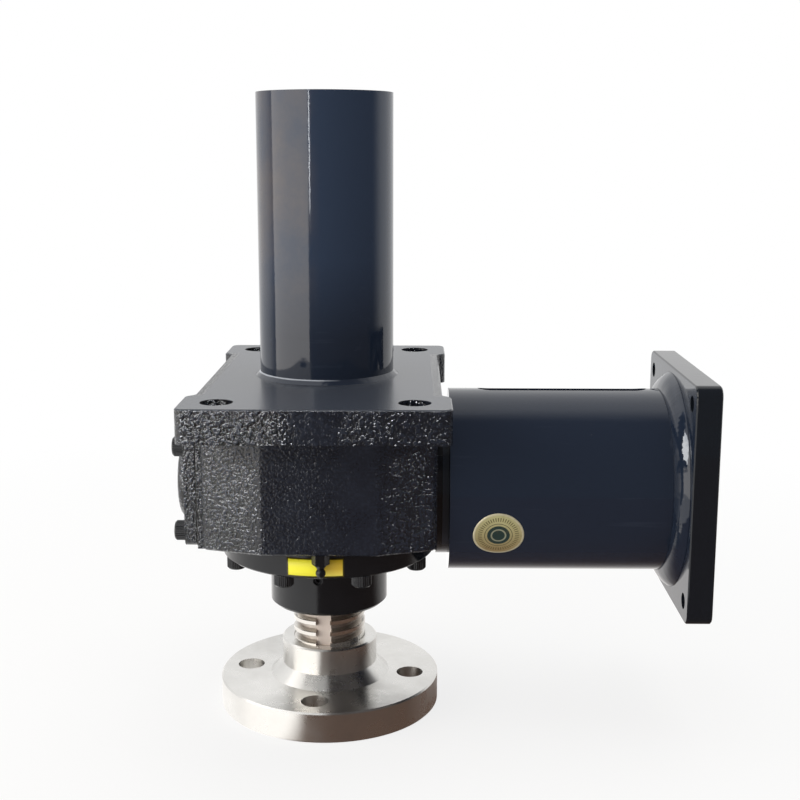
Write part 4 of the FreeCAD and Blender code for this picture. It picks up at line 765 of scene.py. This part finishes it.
turn_to_key = Matrix.Rotation(KEYWAY_ANGLE, 4, "Z")
vertices = [tuple(turn_to_key @ Vector(v)) for v in vertices]
print("thread:", len(vertices), "points,", len(faces), "faces")

# %% [markdown]
# The plain shank and the stud below it sit in the hub, out of sight. They are a small profile
# turned round the axis, with a centre hole in the end as a lathe leaves it.

# %% Stud in the hub
SEGMENTS = 64
STUD_R = 18 * MM
STUD_TOP = HUB_TOP - 13 * MM
STUD_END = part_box("lifting_screw")[0][2]
CENTRE_DEPTH = STUD_END + 5 * MM
stud_profile = [(0, LOW_EDGE), (SCREW_R, LOW_EDGE), (SCREW_R, STUD_TOP), (STUD_R, STUD_TOP),
                (STUD_R, STUD_END + 1 * MM), (STUD_R - 1 * MM, STUD_END), (5 * MM, STUD_END),
                (2 * MM, CENTRE_DEPTH), (0, CENTRE_DEPTH)]
first = len(vertices)
for r, z in stud_profile:
    for k in range(SEGMENTS):
        a = 2 * math.pi * k / SEGMENTS
        vertices.append((r * math.cos(a), r * math.sin(a), z))
for ring in range(len(stud_profile) - 1):
    for k in range(SEGMENTS):
        a, b = first + ring * SEGMENTS + k, first + ring * SEGMENTS + (k + 1) % SEGMENTS
        faces.append((a, b, b + SEGMENTS, a + SEGMENTS))

screw_mesh = bpy.data.meshes.new("threaded_lifting_screw")
screw_mesh.from_pydata(vertices, [], faces)
faced_out(screw_mesh, merge=0.001 * MM)
screw = on_body(screw_mesh, "screw_steel", "lifting_screw")
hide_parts("lifting_screw")

# %% [markdown]
# ## Cap screws
#
# The covers are held by cap screws: a knurled head with a hexagon socket, thick with paint.
# One screw is laid out as rows round its axis, where each row has its own outline: ribs on
# the side, a circle on the rim, a hexagon in the socket. Geometry Nodes then copy it to its
# seats, and turn each copy by chance, as a screw stops where it is tight.


# %% One cap screw
def hexagon(angle, half):
    """Distance from the axis to a hexagon's side, half its width across flats being half."""
    return half / math.cos((angle + math.pi / 6) % (math.pi / 3) - math.pi / 6)


def cap_screw(name, head_r, head_height, key_width, key_depth, shank_r, length, ribs):
    """Screw with its seat at the origin, its head up and its shank down, as a loose object."""
    columns = 4 * ribs
    bevel, groove = 0.1 * head_r, 0.045 * head_r
    half = key_width / 2
    rows = [(shank_r * 0.6, -length, "round"), (shank_r, -length + shank_r * 0.4, "round"),
            (shank_r, 0, "round"), (head_r - groove, 0, "round"), (head_r, bevel, "ribs"),
            (head_r, head_height - 1.6 * bevel, "ribs"),
            (head_r - groove, head_height - 1.2 * bevel, "round"),
            (head_r - groove - bevel, head_height, "round"), (half * 1.12, head_height, "hexagon"),
            (half, head_height - 0.12 * half, "hexagon"), (half, head_height - key_depth, "hexagon")]
    points = []
    for r, z, outline in rows:
        for k in range(columns):
            angle = 2 * math.pi * k / columns
            reach = r - groove * (0.5 - 0.5 * math.cos(ribs * angle)) if outline == "ribs" else r
            reach = hexagon(angle, r) if outline == "hexagon" else reach
            points.append((reach * math.cos(angle), reach * math.sin(angle), z))
    faces = []
    for row in range(len(rows) - 1):
        for k in range(columns):
            a, b = row * columns + k, row * columns + (k + 1) % columns
            faces.append((a, b, b + columns, a + columns))
    points += [(0, 0, -length), (0, 0, head_height - key_depth - 0.3 * half)]
    last_row = (len(rows) - 1) * columns
    for k in range(columns):
        faces.append((len(points) - 2, (k + 1) % columns, k))
        faces.append((len(points) - 1, last_row + k, last_row + (k + 1) % columns))
    mesh = bpy.data.meshes.new(name)
    mesh.from_pydata(points, [], faces)
    screw = bpy.data.objects.new(name, mesh)
    bpy.context.collection.objects.link(screw)
    return screw


FULL_TURN = 6.2832
RANDOM_MAX = 3
M8 = {"head_r": 6.5 * MM, "head_height": 8 * MM, "key_width": 6 * MM, "key_depth": 4.8 * MM,
      "shank_r": 4 * MM, "ribs": 30}
cap = cap_screw("one_cap_screw", length=31 * MM, **M8)
print("faces of one screw:", len(cap.data.polygons))

# %% [markdown]
# A tree of nodes needs a few things each time: its named inputs, an ending that makes copies
# real and gives them a finish, and an empty object to run on. The result is taken as a plain
# mesh, so that nothing live is left.


# %% Helpers for node trees
def new_tree(name, inputs):
    """Geometry tree with named inputs, as (tree, its input sockets)."""
    tree = bpy.data.node_groups.new(name, "GeometryNodeTree")
    for label, kind in {**inputs, "Finish": "Material"}.items():
        tree.interface.new_socket(label, in_out="INPUT", socket_type="NodeSocket" + kind)
    tree.interface.new_socket("Geometry", in_out="OUTPUT", socket_type="NodeSocketGeometry")
    return tree, add(tree, "NodeGroupInput").outputs


def copied(tree, given, seats, turns):
    """Copies of the given screw on all seats."""
    model = add(tree, "GeometryNodeObjectInfo", {"Object": given["Screw"]})
    return add(tree, "GeometryNodeInstanceOnPoints", {
        "Points": seats, "Instance": model.outputs["Geometry"], "Rotation": turns})


def end_tree(tree, given, shape):
    """Last nodes: real geometry, its finish and the output."""
    real = add(tree, "GeometryNodeRealizeInstances", {"Geometry": shape})
    painted = add(tree, "GeometryNodeSetMaterial", {"Geometry": real, "Material": given["Finish"]})
    add(tree, "NodeGroupOutput", {0: painted})


def grown(name, tree, values, slot, body):
    """Run a tree with its inputs set and keep what it makes as a plain piece on a body."""
    maker = bpy.data.objects.new(name + "_maker", bpy.data.meshes.new(name + "_maker"))
    bpy.context.collection.objects.link(maker)
    modifier = maker.modifiers.new("grow", "NODES")
    modifier.node_group = tree
    values = {**values, "Finish": FINISH[slot]}
    for socket in tree.interface.items_tree:
        if socket.in_out == "INPUT":
            modifier[socket.identifier] = values[socket.name]
    graph = bpy.context.evaluated_depsgraph_get()
    mesh = bpy.data.meshes.new_from_object(maker.evaluated_get(graph))
    bpy.data.objects.remove(maker)
    mesh.name = name
    faced_out(mesh)
    piece = on_body(mesh, slot, body)
    return piece


# %% [markdown]
# Eight screws stand in a ring under the cover, heads down. A mesh circle gives the seats, and a
# half turn about X puts each screw on its head.

# %% Ring of screws under the cover
tree, given = new_tree("screw_ring", {
    "Screw": "Object", "Count": "Int", "Circle Radius": "Float", "Seat Height": "Float",
    "First Angle": "Float", "Seed": "Int"})
seats = add(tree, "GeometryNodeMeshCircle", {
    "Vertices": given["Count"], "Radius": given["Circle Radius"]})
lift = add(tree, "ShaderNodeCombineXYZ", {"Z": given["Seat Height"]})
start = add(tree, "ShaderNodeCombineXYZ", {"Z": given["First Angle"]})
placed = add(tree, "GeometryNodeTransform", {"Geometry": seats, "Translation": lift, "Rotation": start})
chance = add(tree, "FunctionNodeRandomValue", {
    "data_type": "FLOAT", RANDOM_MAX: FULL_TURN, "Seed": given["Seed"]})
stopped = add(tree, "ShaderNodeCombineXYZ", {"X": math.pi, "Z": chance})
end_tree(tree, given, copied(tree, given, placed, stopped))
ring = grown("cover_cap_screws", tree, {
    "Screw": cap, "Count": 8, "Circle Radius": 66 * MM, "Seat Height": COVER_BOTTOM,
    "First Angle": math.radians(22.5), "Seed": 5}, "painted_screws", "housing")
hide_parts("lower_cover_screws")

# %% [markdown]
# The left cover has four screws at the corners of a rectangle, heads to the left. Here the
# seats come from a two by two grid that is turned to stand upright.

# %% Corner screws of the left cover
seat_low, seat_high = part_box("left_cover_screws")
HEAD_WIDTH = 2 * M8["head_r"]
LEFT_FACE = seat_low[0] + M8["head_height"]
left_cap = cap_screw("one_left_cap_screw", length=21 * MM, **M8)
tree, given = new_tree("corner_screws", {
    "Screw": "Object", "Width": "Float", "Height": "Float", "Middle": "Vector", "Seed": "Int"})
seats = add(tree, "GeometryNodeMeshGrid", {
    "Vertices X": 2, "Vertices Y": 2, "Size X": given["Height"], "Size Y": given["Width"]})
placed = add(tree, "GeometryNodeTransform", {
    "Geometry": seats, "Translation": given["Middle"], "Rotation": (0, math.pi / 2, 0)})
chance = add(tree, "FunctionNodeRandomValue", {
    "data_type": "FLOAT", RANDOM_MAX: FULL_TURN, "Seed": given["Seed"]})
spun = add(tree, "ShaderNodeCombineXYZ", {"Z": chance})
outward = add(tree, "FunctionNodeRotateEuler", {
    "rotation_type": "EULER", "space": "OBJECT", 0: spun, 1: (0, -math.pi / 2, 0)})
end_tree(tree, given, copied(tree, given, placed, outward))
corners = grown("left_cap_screws", tree, {
    "Screw": left_cap, "Width": seat_high[1] - seat_low[1] - HEAD_WIDTH,
    "Height": seat_high[2] - seat_low[2] - HEAD_WIDTH,
    "Middle": (LEFT_FACE, (seat_low[1] + seat_high[1]) / 2, (seat_low[2] + seat_high[2]) / 2),
    "Seed": 3}, "painted_screws", "housing")
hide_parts("left_cover_screws")
for model in (cap, left_cap):
    bpy.data.objects.remove(model)
print("screw seats at x", round(LEFT_FACE, 4))

# %% [markdown]
# ## Weld between lantern and motor plate
#
# A fillet weld laid by hand: every dip of the rod leaves a crescent, 2 to 3 mm from the last,
# and the edges waver. A texture could fake the crescents, but they catch the light along the
# rim, so they are modelled. A bow-shaped profile follows a circle, and its points are then
# pushed along their normals by a wave of the angle and by a slow noise.

# %% Weld bead: a bow swept round the lantern
SINK = 0.4 * MM
tree, given = new_tree("weld_bead", {
    "Path Radius": "Float", "Rise": "Float", "Run": "Float", "Crown": "Float", "Ripples": "Float",
    "Ripple Depth": "Float", "Waver": "Float", "Seed": "Float", "Turn": "Vector", "Place": "Vector"})
path = add(tree, "GeometryNodeCurvePrimitiveCircle", {
    "Resolution": 1200, "Radius": given["Path Radius"]})
toe = add(tree, "ShaderNodeCombineXYZ", {"X": -SINK, "Y": given["Run"]})
heel = add(tree, "ShaderNodeCombineXYZ", {"X": given["Rise"], "Y": -SINK})
half_rise = add(tree, "ShaderNodeMath", {
    "operation": "MULTIPLY_ADD", 0: given["Rise"], 1: 0.5, 2: given["Crown"]})
half_run = add(tree, "ShaderNodeMath", {
    "operation": "MULTIPLY_ADD", 0: given["Run"], 1: 0.5, 2: given["Crown"]})
middle = add(tree, "ShaderNodeCombineXYZ", {"X": half_rise, "Y": half_run})
bow = add(tree, "GeometryNodeCurveQuadraticBezier", {
    "Resolution": 14, "Start": toe, "Middle": middle, "End": heel})
closed = add(tree, "GeometryNodeSetSplineCyclic", {"Cyclic": True, "Geometry": bow})
swept = add(tree, "GeometryNodeCurveToMesh", {"Curve": path, "Profile Curve": closed})
print("bead sinks", SINK / MM, "mm into lantern and plate")

# %% Weld bead: height of the crescents
DRIFT_LENGTH, WAVER_LENGTH = 1 / 70, 1 / 60
at = add(tree, "GeometryNodeInputPosition")
split = add(tree, "ShaderNodeSeparateXYZ", {0: at})
angle = add(tree, "ShaderNodeMath", {
    "operation": "ARCTAN2", 0: split.outputs["Y"], 1: split.outputs["X"]})
share = add(tree, "ShaderNodeMath", {"operation": "DIVIDE", 0: split.outputs["Z"], 1: given["Run"]})
arm = add(tree, "ShaderNodeMath", {"operation": "ADD", 0: share, 1: 0.5})
crescent = add(tree, "ShaderNodeMath", {"operation": "MULTIPLY", 0: arm, 1: arm})
drift = add(tree, "ShaderNodeTexNoise", {
    "noise_dimensions": "4D", "Scale": 1 / DRIFT_LENGTH, "Detail": 1.0, "Vector": at, "W": given["Seed"]})
late = add(tree, "ShaderNodeMath", {"operation": "MULTIPLY_ADD", 0: crescent, 1: 5.0, 2: drift})
late_more = add(tree, "ShaderNodeMath", {"operation": "MULTIPLY_ADD", 0: drift, 1: 3.0, 2: late})
half_ripples = add(tree, "ShaderNodeMath", {"operation": "MULTIPLY", 0: given["Ripples"], 1: 0.5})
phase = add(tree, "ShaderNodeMath", {
    "operation": "MULTIPLY_ADD", 0: angle, 1: half_ripples, 2: late_more})
wave = add(tree, "ShaderNodeMath", {"operation": "SINE", 0: phase})
hump = add(tree, "ShaderNodeMath", {"operation": "ABSOLUTE", 0: wave})
lump = add(tree, "ShaderNodeMath", {"operation": "MULTIPLY", 0: hump, 1: given["Ripple Depth"]})
slow = add(tree, "ShaderNodeTexNoise", {
    "noise_dimensions": "4D", "Scale": 1 / WAVER_LENGTH, "Detail": 1.0, "Vector": at, "W": given["Seed"]})
centred = add(tree, "ShaderNodeMath", {"operation": "SUBTRACT", 0: slow, 1: 0.6})
height = add(tree, "ShaderNodeMath", {
    "operation": "MULTIPLY_ADD", 0: centred, 1: given["Waver"], 2: lump})
print("edges waver over", round(WAVER_LENGTH / MM, 1), "mm, ripples drift over",
      round(DRIFT_LENGTH / MM, 1), "mm")

# %% Weld bead: pushed out and put in its place
outwards = add(tree, "GeometryNodeInputNormal")
push = add(tree, "ShaderNodeVectorMath", {"operation": "SCALE", 0: outwards, "Scale": height})
shaped = add(tree, "GeometryNodeSetPosition", {"Geometry": swept, "Offset": push})
smooth = add(tree, "GeometryNodeSetShadeSmooth", {"Geometry": shaped})
placed = add(tree, "GeometryNodeTransform", {
    "Geometry": smooth, "Translation": given["Place"], "Rotation": given["Turn"]})
end_tree(tree, given, placed)
bead_low, bead_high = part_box("lantern_weld")
bead = grown("lantern_weld_bead", tree, {
    "Path Radius": LANTERN_R, "Rise": bead_high[1] - LANTERN_R, "Run": bead_high[0] - bead_low[0],
    "Crown": 1.9 * MM, "Ripples": 110.0, "Ripple Depth": 0.03 * MM, "Waver": 0.6 * MM, "Seed": 4.0,
    "Turn": (0, math.pi / 2, 0), "Place": (PLATE_FACE, 0, INPUT_Z)}, "gloss_paint", "housing")
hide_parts("lantern_weld")

# %% [markdown]
# ## Seal sticker and label
#
# Both are thin foils on a round surface. Each is built as a small grid in its own flat
# measure first, which becomes its UV map, and then wrapped round the cylinder. So the ring
# pattern and the printed border follow the foil, and stay round when it bends.


# %% Foils on round surfaces
def foil(name, rows, wrap, finish_name, closed_rows):
    """Wrapped foil from rows of flat points (u, v, lift). Its UV map is the flat measure in mm."""
    flat = [p for row in rows for p in row]
    width = len(rows[0])
    faces = []
    for r in range(len(rows) - 1):
        for k in range(width if closed_rows else width - 1):
            a, b = r * width + k, r * width + (k + 1) % width
            faces.append((a, b, b + width, a + width))
    if closed_rows:
        faces.append(tuple(range(width)))
    mesh = bpy.data.meshes.new(name)
    mesh.from_pydata([wrap(u, v, lift) for u, v, lift in flat], [], faces)
    layer = mesh.uv_layers.new(name="flat_mm")
    for loop in mesh.loops:
        u, v, _ = flat[loop.vertex_index]
        layer.data[loop.index].uv = (u / MM, v / MM)
    faced_out(mesh)
    mesh.shade_smooth()
    return on_body(mesh, finish_name, "housing")


# %% [markdown]
# ### Gold seal
#
# A round seal of printed gold film, 33 mm across: a pale rim, a ring of fine strokes, and a
# plain blue-green field in the middle. The film is a metal layer under clear plastic, so it
# is half mirror and half print. The ring of strokes is counted from the angle, the fields from
# the distance to the middle.

# %% Rings printed on the seal, in mm from its middle
HEART, FIELD_EDGE, INNER_LINE, STROKE_RING, RIM_START = 4.6, 7.4, 9.0, 12.1, 15.3
STROKES = 48.0
tree, spot, shader = finish("gold_film", "printed_gold_film", Metallic=0.35, Roughness=0.34, IOR=1.5)
own = add(tree, "ShaderNodeUVMap", {"uv_map": "flat_mm"})
flat = add(tree, "ShaderNodeSeparateXYZ", {0: own})
distance = add(tree, "ShaderNodeVectorMath", {"operation": "LENGTH", 0: own})
turn = add(tree, "ShaderNodeMath", {"operation": "ARCTAN2", 0: flat.outputs["Y"], 1: flat.outputs["X"]})
strokes = add(tree, "ShaderNodeMath", {"operation": "MULTIPLY", 0: turn, 1: STROKES})
beat = add(tree, "ShaderNodeMath", {"operation": "SINE", 0: strokes})
inked = add(tree, "ShaderNodeMapRange", {
    "From Min": 0.1, "From Max": 0.5, "To Max": 0.85, "Value": beat})
ring_band = add(tree, "ShaderNodeMath", {"operation": "COMPARE", 0: distance, 1: STROKE_RING, 2: 1.35})
ring_ink = add(tree, "ShaderNodeMath", {"operation": "MULTIPLY", 0: inked, 1: ring_band})
print("strokes in the ring:", STROKES)

# %% Colours and wear of the seal
worn = add(tree, "ShaderNodeTexNoise", {
    "Scale": 1 / (3.85 * MM), "Detail": 4.0, "Roughness": 0.65, "Vector": spot})
lower = add(tree, "ShaderNodeMapRange", {
    "From Min": -16.0, "From Max": 15.0, "Value": flat.outputs["Y"]})
pale = add(tree, "ShaderNodeMath", {"operation": "GREATER_THAN", 0: distance, 1: RIM_START})
line = add(tree, "ShaderNodeMath", {"operation": "COMPARE", 0: distance, 1: INNER_LINE, 2: 0.22})
middle = add(tree, "ShaderNodeMath", {"operation": "LESS_THAN", 0: distance, 1: FIELD_EDGE})
heart = add(tree, "ShaderNodeMath", {"operation": "COMPARE", 0: distance, 1: HEART, 2: 0.5})
stain = add(tree, "ShaderNodeMapRange", {
    "From Min": 0.52, "From Max": 0.8, "To Max": 0.4, "Value": worn})
# Painted shade and highlight: the film is darker and browner towards its bottom and pale towards its top.
film = add(tree, "ShaderNodeMix", {"data_type": "RGBA", "Factor": lower, A: "#a18a62", B: "#cfcb98"})
for cover, colour in ((ring_ink, "#5d542c"), (pale, "#d8d0b0"), (line, "#5a5a3c"), (middle, "#2f4442"),
                      (heart, "#a3a68f"), (stain, "#6d5c3a")):
    film = add(tree, "ShaderNodeMix", {"data_type": "RGBA", "Factor": cover, A: film, B: colour})
crease = add(tree, "ShaderNodeBump", {"Distance": 0.08 * MM, "Strength": 0.5, "Height": worn})
wire(shader, {"Base Color": film, "Normal": crease})
print("gold film ready")

# %% [markdown]
# The seal sits low on the front of the lantern. Its rows run from a small ring in the middle
# out to the edge, which is tucked under the paint so that no gap shows.

# %% The seal on the lantern
SEAL_R = 16.6 * MM
SEAL_SIDES = 72
SEAL_X, SEAL_ANGLE = 114.2 * MM, math.radians(-22.6)
FILM, TUCK = 0.15 * MM, -0.1 * MM


def on_lantern(u, v, lift):
    """Flat place on the seal to a place on the lantern."""
    angle = SEAL_ANGLE + v / LANTERN_R
    r = LANTERN_R + lift
    return (SEAL_X + u, -r * math.cos(angle), INPUT_Z + r * math.sin(angle))


seal_rows = []
for share, lift in ((0.02, FILM * 1.3), (0.3, FILM * 1.3), (0.6, FILM * 1.3), (0.93, FILM * 1.3),
                    (1.0, FILM), (1.0, TUCK)):
    turns = [2 * math.pi * k / SEAL_SIDES for k in range(SEAL_SIDES)]
    reach = share * SEAL_R
    seal_rows.append([(reach * math.cos(a), reach * math.sin(a), lift) for a in turns])
foil("gold_seal", seal_rows, on_lantern, "gold_film", True)

# %% [markdown]
# ### Yellow label
#
# A small yellow label behind the grease nipple, with a black border. Its right half is
# stained brown by grease, and along its upper edge, under the casting, it turns dark with a
# ragged border. It is printed vinyl: no metal, smooth, and a bit dull where it is dirty.

# %% Yellow vinyl
LABEL_FROM, LABEL_TO = math.radians(-17.8), math.radians(11.5)
LABEL_LOW, LABEL_HIGH = -120.7 * MM, -108.0 * MM
label_width = (LABEL_TO - LABEL_FROM) * COVER_R
label_height = LABEL_HIGH - LABEL_LOW
WIDTH_MM, HEIGHT_MM, BORDER_MM = label_width / MM, label_height / MM, 0.9
tree, spot, shader = finish("yellow_vinyl", "printed_yellow_vinyl", IOR=1.5)
own = add(tree, "ShaderNodeUVMap", {"uv_map": "flat_mm"})
flat = add(tree, "ShaderNodeSeparateXYZ", {0: own})
grime = add(tree, "ShaderNodeTexNoise", {
    "Scale": 1 / (3.33 * MM), "Detail": 5.0, "Roughness": 0.7, "Vector": spot})
across_label = add(tree, "ShaderNodeMath", {
    "operation": "MULTIPLY_ADD", 0: grime, 1: 3.0, 2: flat.outputs["X"]})
greasy = add(tree, "ShaderNodeMapRange", {"From Min": 22.0, "From Max": 26.0, "Value": across_label})
vinyl = add(tree, "ShaderNodeMix", {"data_type": "RGBA", "Factor": greasy, A: "#fbf33a", B: "#d9b52e"})
low_right = add(tree, "ShaderNodeMapRange", {
    "From Min": 5.5, "From Max": 1.5, "Value": flat.outputs["Y"]})
washed = add(tree, "ShaderNodeMath", {"operation": "MULTIPLY", 0: greasy, 1: low_right})
vinyl = add(tree, "ShaderNodeMix", {"data_type": "RGBA", "Factor": washed, A: vinyl, B: "#f3df62"})
# A dark band with a ragged border along the upper edge, just under the casting.
up_label = add(tree, "ShaderNodeMath", {
    "operation": "MULTIPLY_ADD", 0: grime, 1: 4.0, 2: flat.outputs["Y"]})
dark_top_band = add(tree, "ShaderNodeMapRange", {
    "From Min": HEIGHT_MM + 0.6, "From Max": HEIGHT_MM + 1.9, "To Max": 0.9, "Value": up_label})
vinyl = add(tree, "ShaderNodeMix", {"data_type": "RGBA", "Factor": dark_top_band, A: vinyl, B: "#3a3115"})
print("label", round(WIDTH_MM, 1), "by", round(HEIGHT_MM, 1), "mm")

# %% Border of the label
from_middle_x = add(tree, "ShaderNodeMath", {
    "operation": "COMPARE", 0: flat.outputs["X"], 1: WIDTH_MM / 2, 2: WIDTH_MM / 2 - BORDER_MM})
from_middle_y = add(tree, "ShaderNodeMath", {
    "operation": "COMPARE", 0: flat.outputs["Y"], 1: HEIGHT_MM / 2, 2: HEIGHT_MM / 2 - BORDER_MM})
inside = add(tree, "ShaderNodeMath", {"operation": "MULTIPLY", 0: from_middle_x, 1: from_middle_y})
border = add(tree, "ShaderNodeMath", {"operation": "SUBTRACT", 0: 1.0, 1: inside})
vinyl = add(tree, "ShaderNodeMix", {"data_type": "RGBA", "Factor": border, A: vinyl, B: "#443a0c"})
dull = add(tree, "ShaderNodeMapRange", {"To Min": 0.22, "To Max": 0.5, "Value": grime})
wire(shader, {"Base Color": vinyl, "Roughness": dull})
print("border", BORDER_MM, "mm wide")

# %% [markdown]
# The label is bent round the lower cover, with its long edges tucked in.


# %% The label on the cover
def on_cover(u, v, lift):
    """Flat place on the label to a place on the cover."""
    angle = LABEL_FROM + u / COVER_R
    r = COVER_R + lift
    return (r * math.sin(angle), -r * math.cos(angle), LABEL_LOW + v)


LABEL_STEPS = 24
label_rows = []
for v, lift in ((0, TUCK), (0, FILM), (label_height, FILM), (label_height, TUCK)):
    label_rows.append([(label_width * k / LABEL_STEPS, v, lift) for k in range(LABEL_STEPS + 1)])
foil("yellow_label", label_rows, on_cover, "yellow_vinyl", False)

# %% [markdown]
# ## Bright windows for single pieces
#
# Small bright windows make wet-looking paint sparkle: each lump of the casting tilts a bit of
# its skin towards one of them. On the bare steel they would draw stripes that a soft room
# doesn't, so each window is linked to the pieces that it is for, and only gloss shows it.


# %% Windows
DAYLIGHT = (0.93, 0.96, 1.0)
AIM = (0, 0, -0.05)


def window(name, place, size, radiance, *pieces):
    """Glossy-only lamp of a given brightness that shines on the named pieces."""
    lamp = panel(name, place, AIM, size, radiance * math.pi * size[0] * size[1], DAYLIGHT)
    lamp.visible_diffuse = False
    shone_on = bpy.data.collections.new(name + "_pieces")
    for piece in pieces:
        shone_on.objects.link(bpy.data.objects[piece])
    lamp.light_linking.receiver_collection = shone_on
    return lamp


CASTING = ("housing", "left_cover")
high_left = window("high_left_window", (-1.1, -1.5, 0.75), (0.42, 0.42), 105, *CASTING)
high_front = window("high_front_window", (-0.3, -1.75, 0.9), (0.3, 0.3), 80, *CASTING)
high_right = window("high_right_window", (1.0, -1.4, 0.6), (0.26, 0.26), 130, *CASTING)
print("windows of the casting:", high_left.name, high_front.name, high_right.name)

# %% [markdown]
# From behind, the milled top of the flange would mirror these three as one white glare. A lamp
# can have nodes too: it knows its own place and the ray that leaves it, and the sum of both is
# the point that it lights. So it can leave out every point at the height of the top. This asks
# only where the lit point lies, and is the same for every camera.


# %% Windows that leave out the top
def only_below(lamp, height):
    """Let a lamp shine only on points below a height."""
    lamp.data.use_nodes = True
    tree = lamp.data.node_tree
    tree.nodes.clear()
    start = add(tree, "ShaderNodeNewGeometry")
    ray = add(tree, "ShaderNodeLightPath")
    way = add(tree, "ShaderNodeVectorMath", {
        "operation": "SCALE", 0: start.outputs["Incoming"], "Scale": ray.outputs["Ray Length"]})
    lit = add(tree, "ShaderNodeVectorMath", {"operation": "ADD", 0: start.outputs["Position"], 1: way})
    split = add(tree, "ShaderNodeSeparateXYZ", {0: lit})
    low = add(tree, "ShaderNodeMath", {"operation": "LESS_THAN", 0: split.outputs["Z"], 1: height})
    light = add(tree, "ShaderNodeEmission", {"Strength": low})
    add(tree, "ShaderNodeOutputLight", {"Surface": light})


JUST_UNDER_TOP = -0.3 * MM
for lamp in (high_left, high_front, high_right):
    only_below(lamp, JUST_UNDER_TOP)
print("lit below", JUST_UNDER_TOP / MM, "mm")

# %% [markdown]
# Two more windows serve one piece each: a tall narrow one gives the tube its thin bright line,
# and a wide one behind on the left lights up the ripples of the weld.

# %% Windows for tube and weld
window("near_window", (-0.62, -1.55, 0.42), (0.04, 0.8), 20, "protection_tube")
window("back_left_window", (-1.35, -0.1, 0.63), (1.1, 0.7), 11, "lantern_weld_bead")
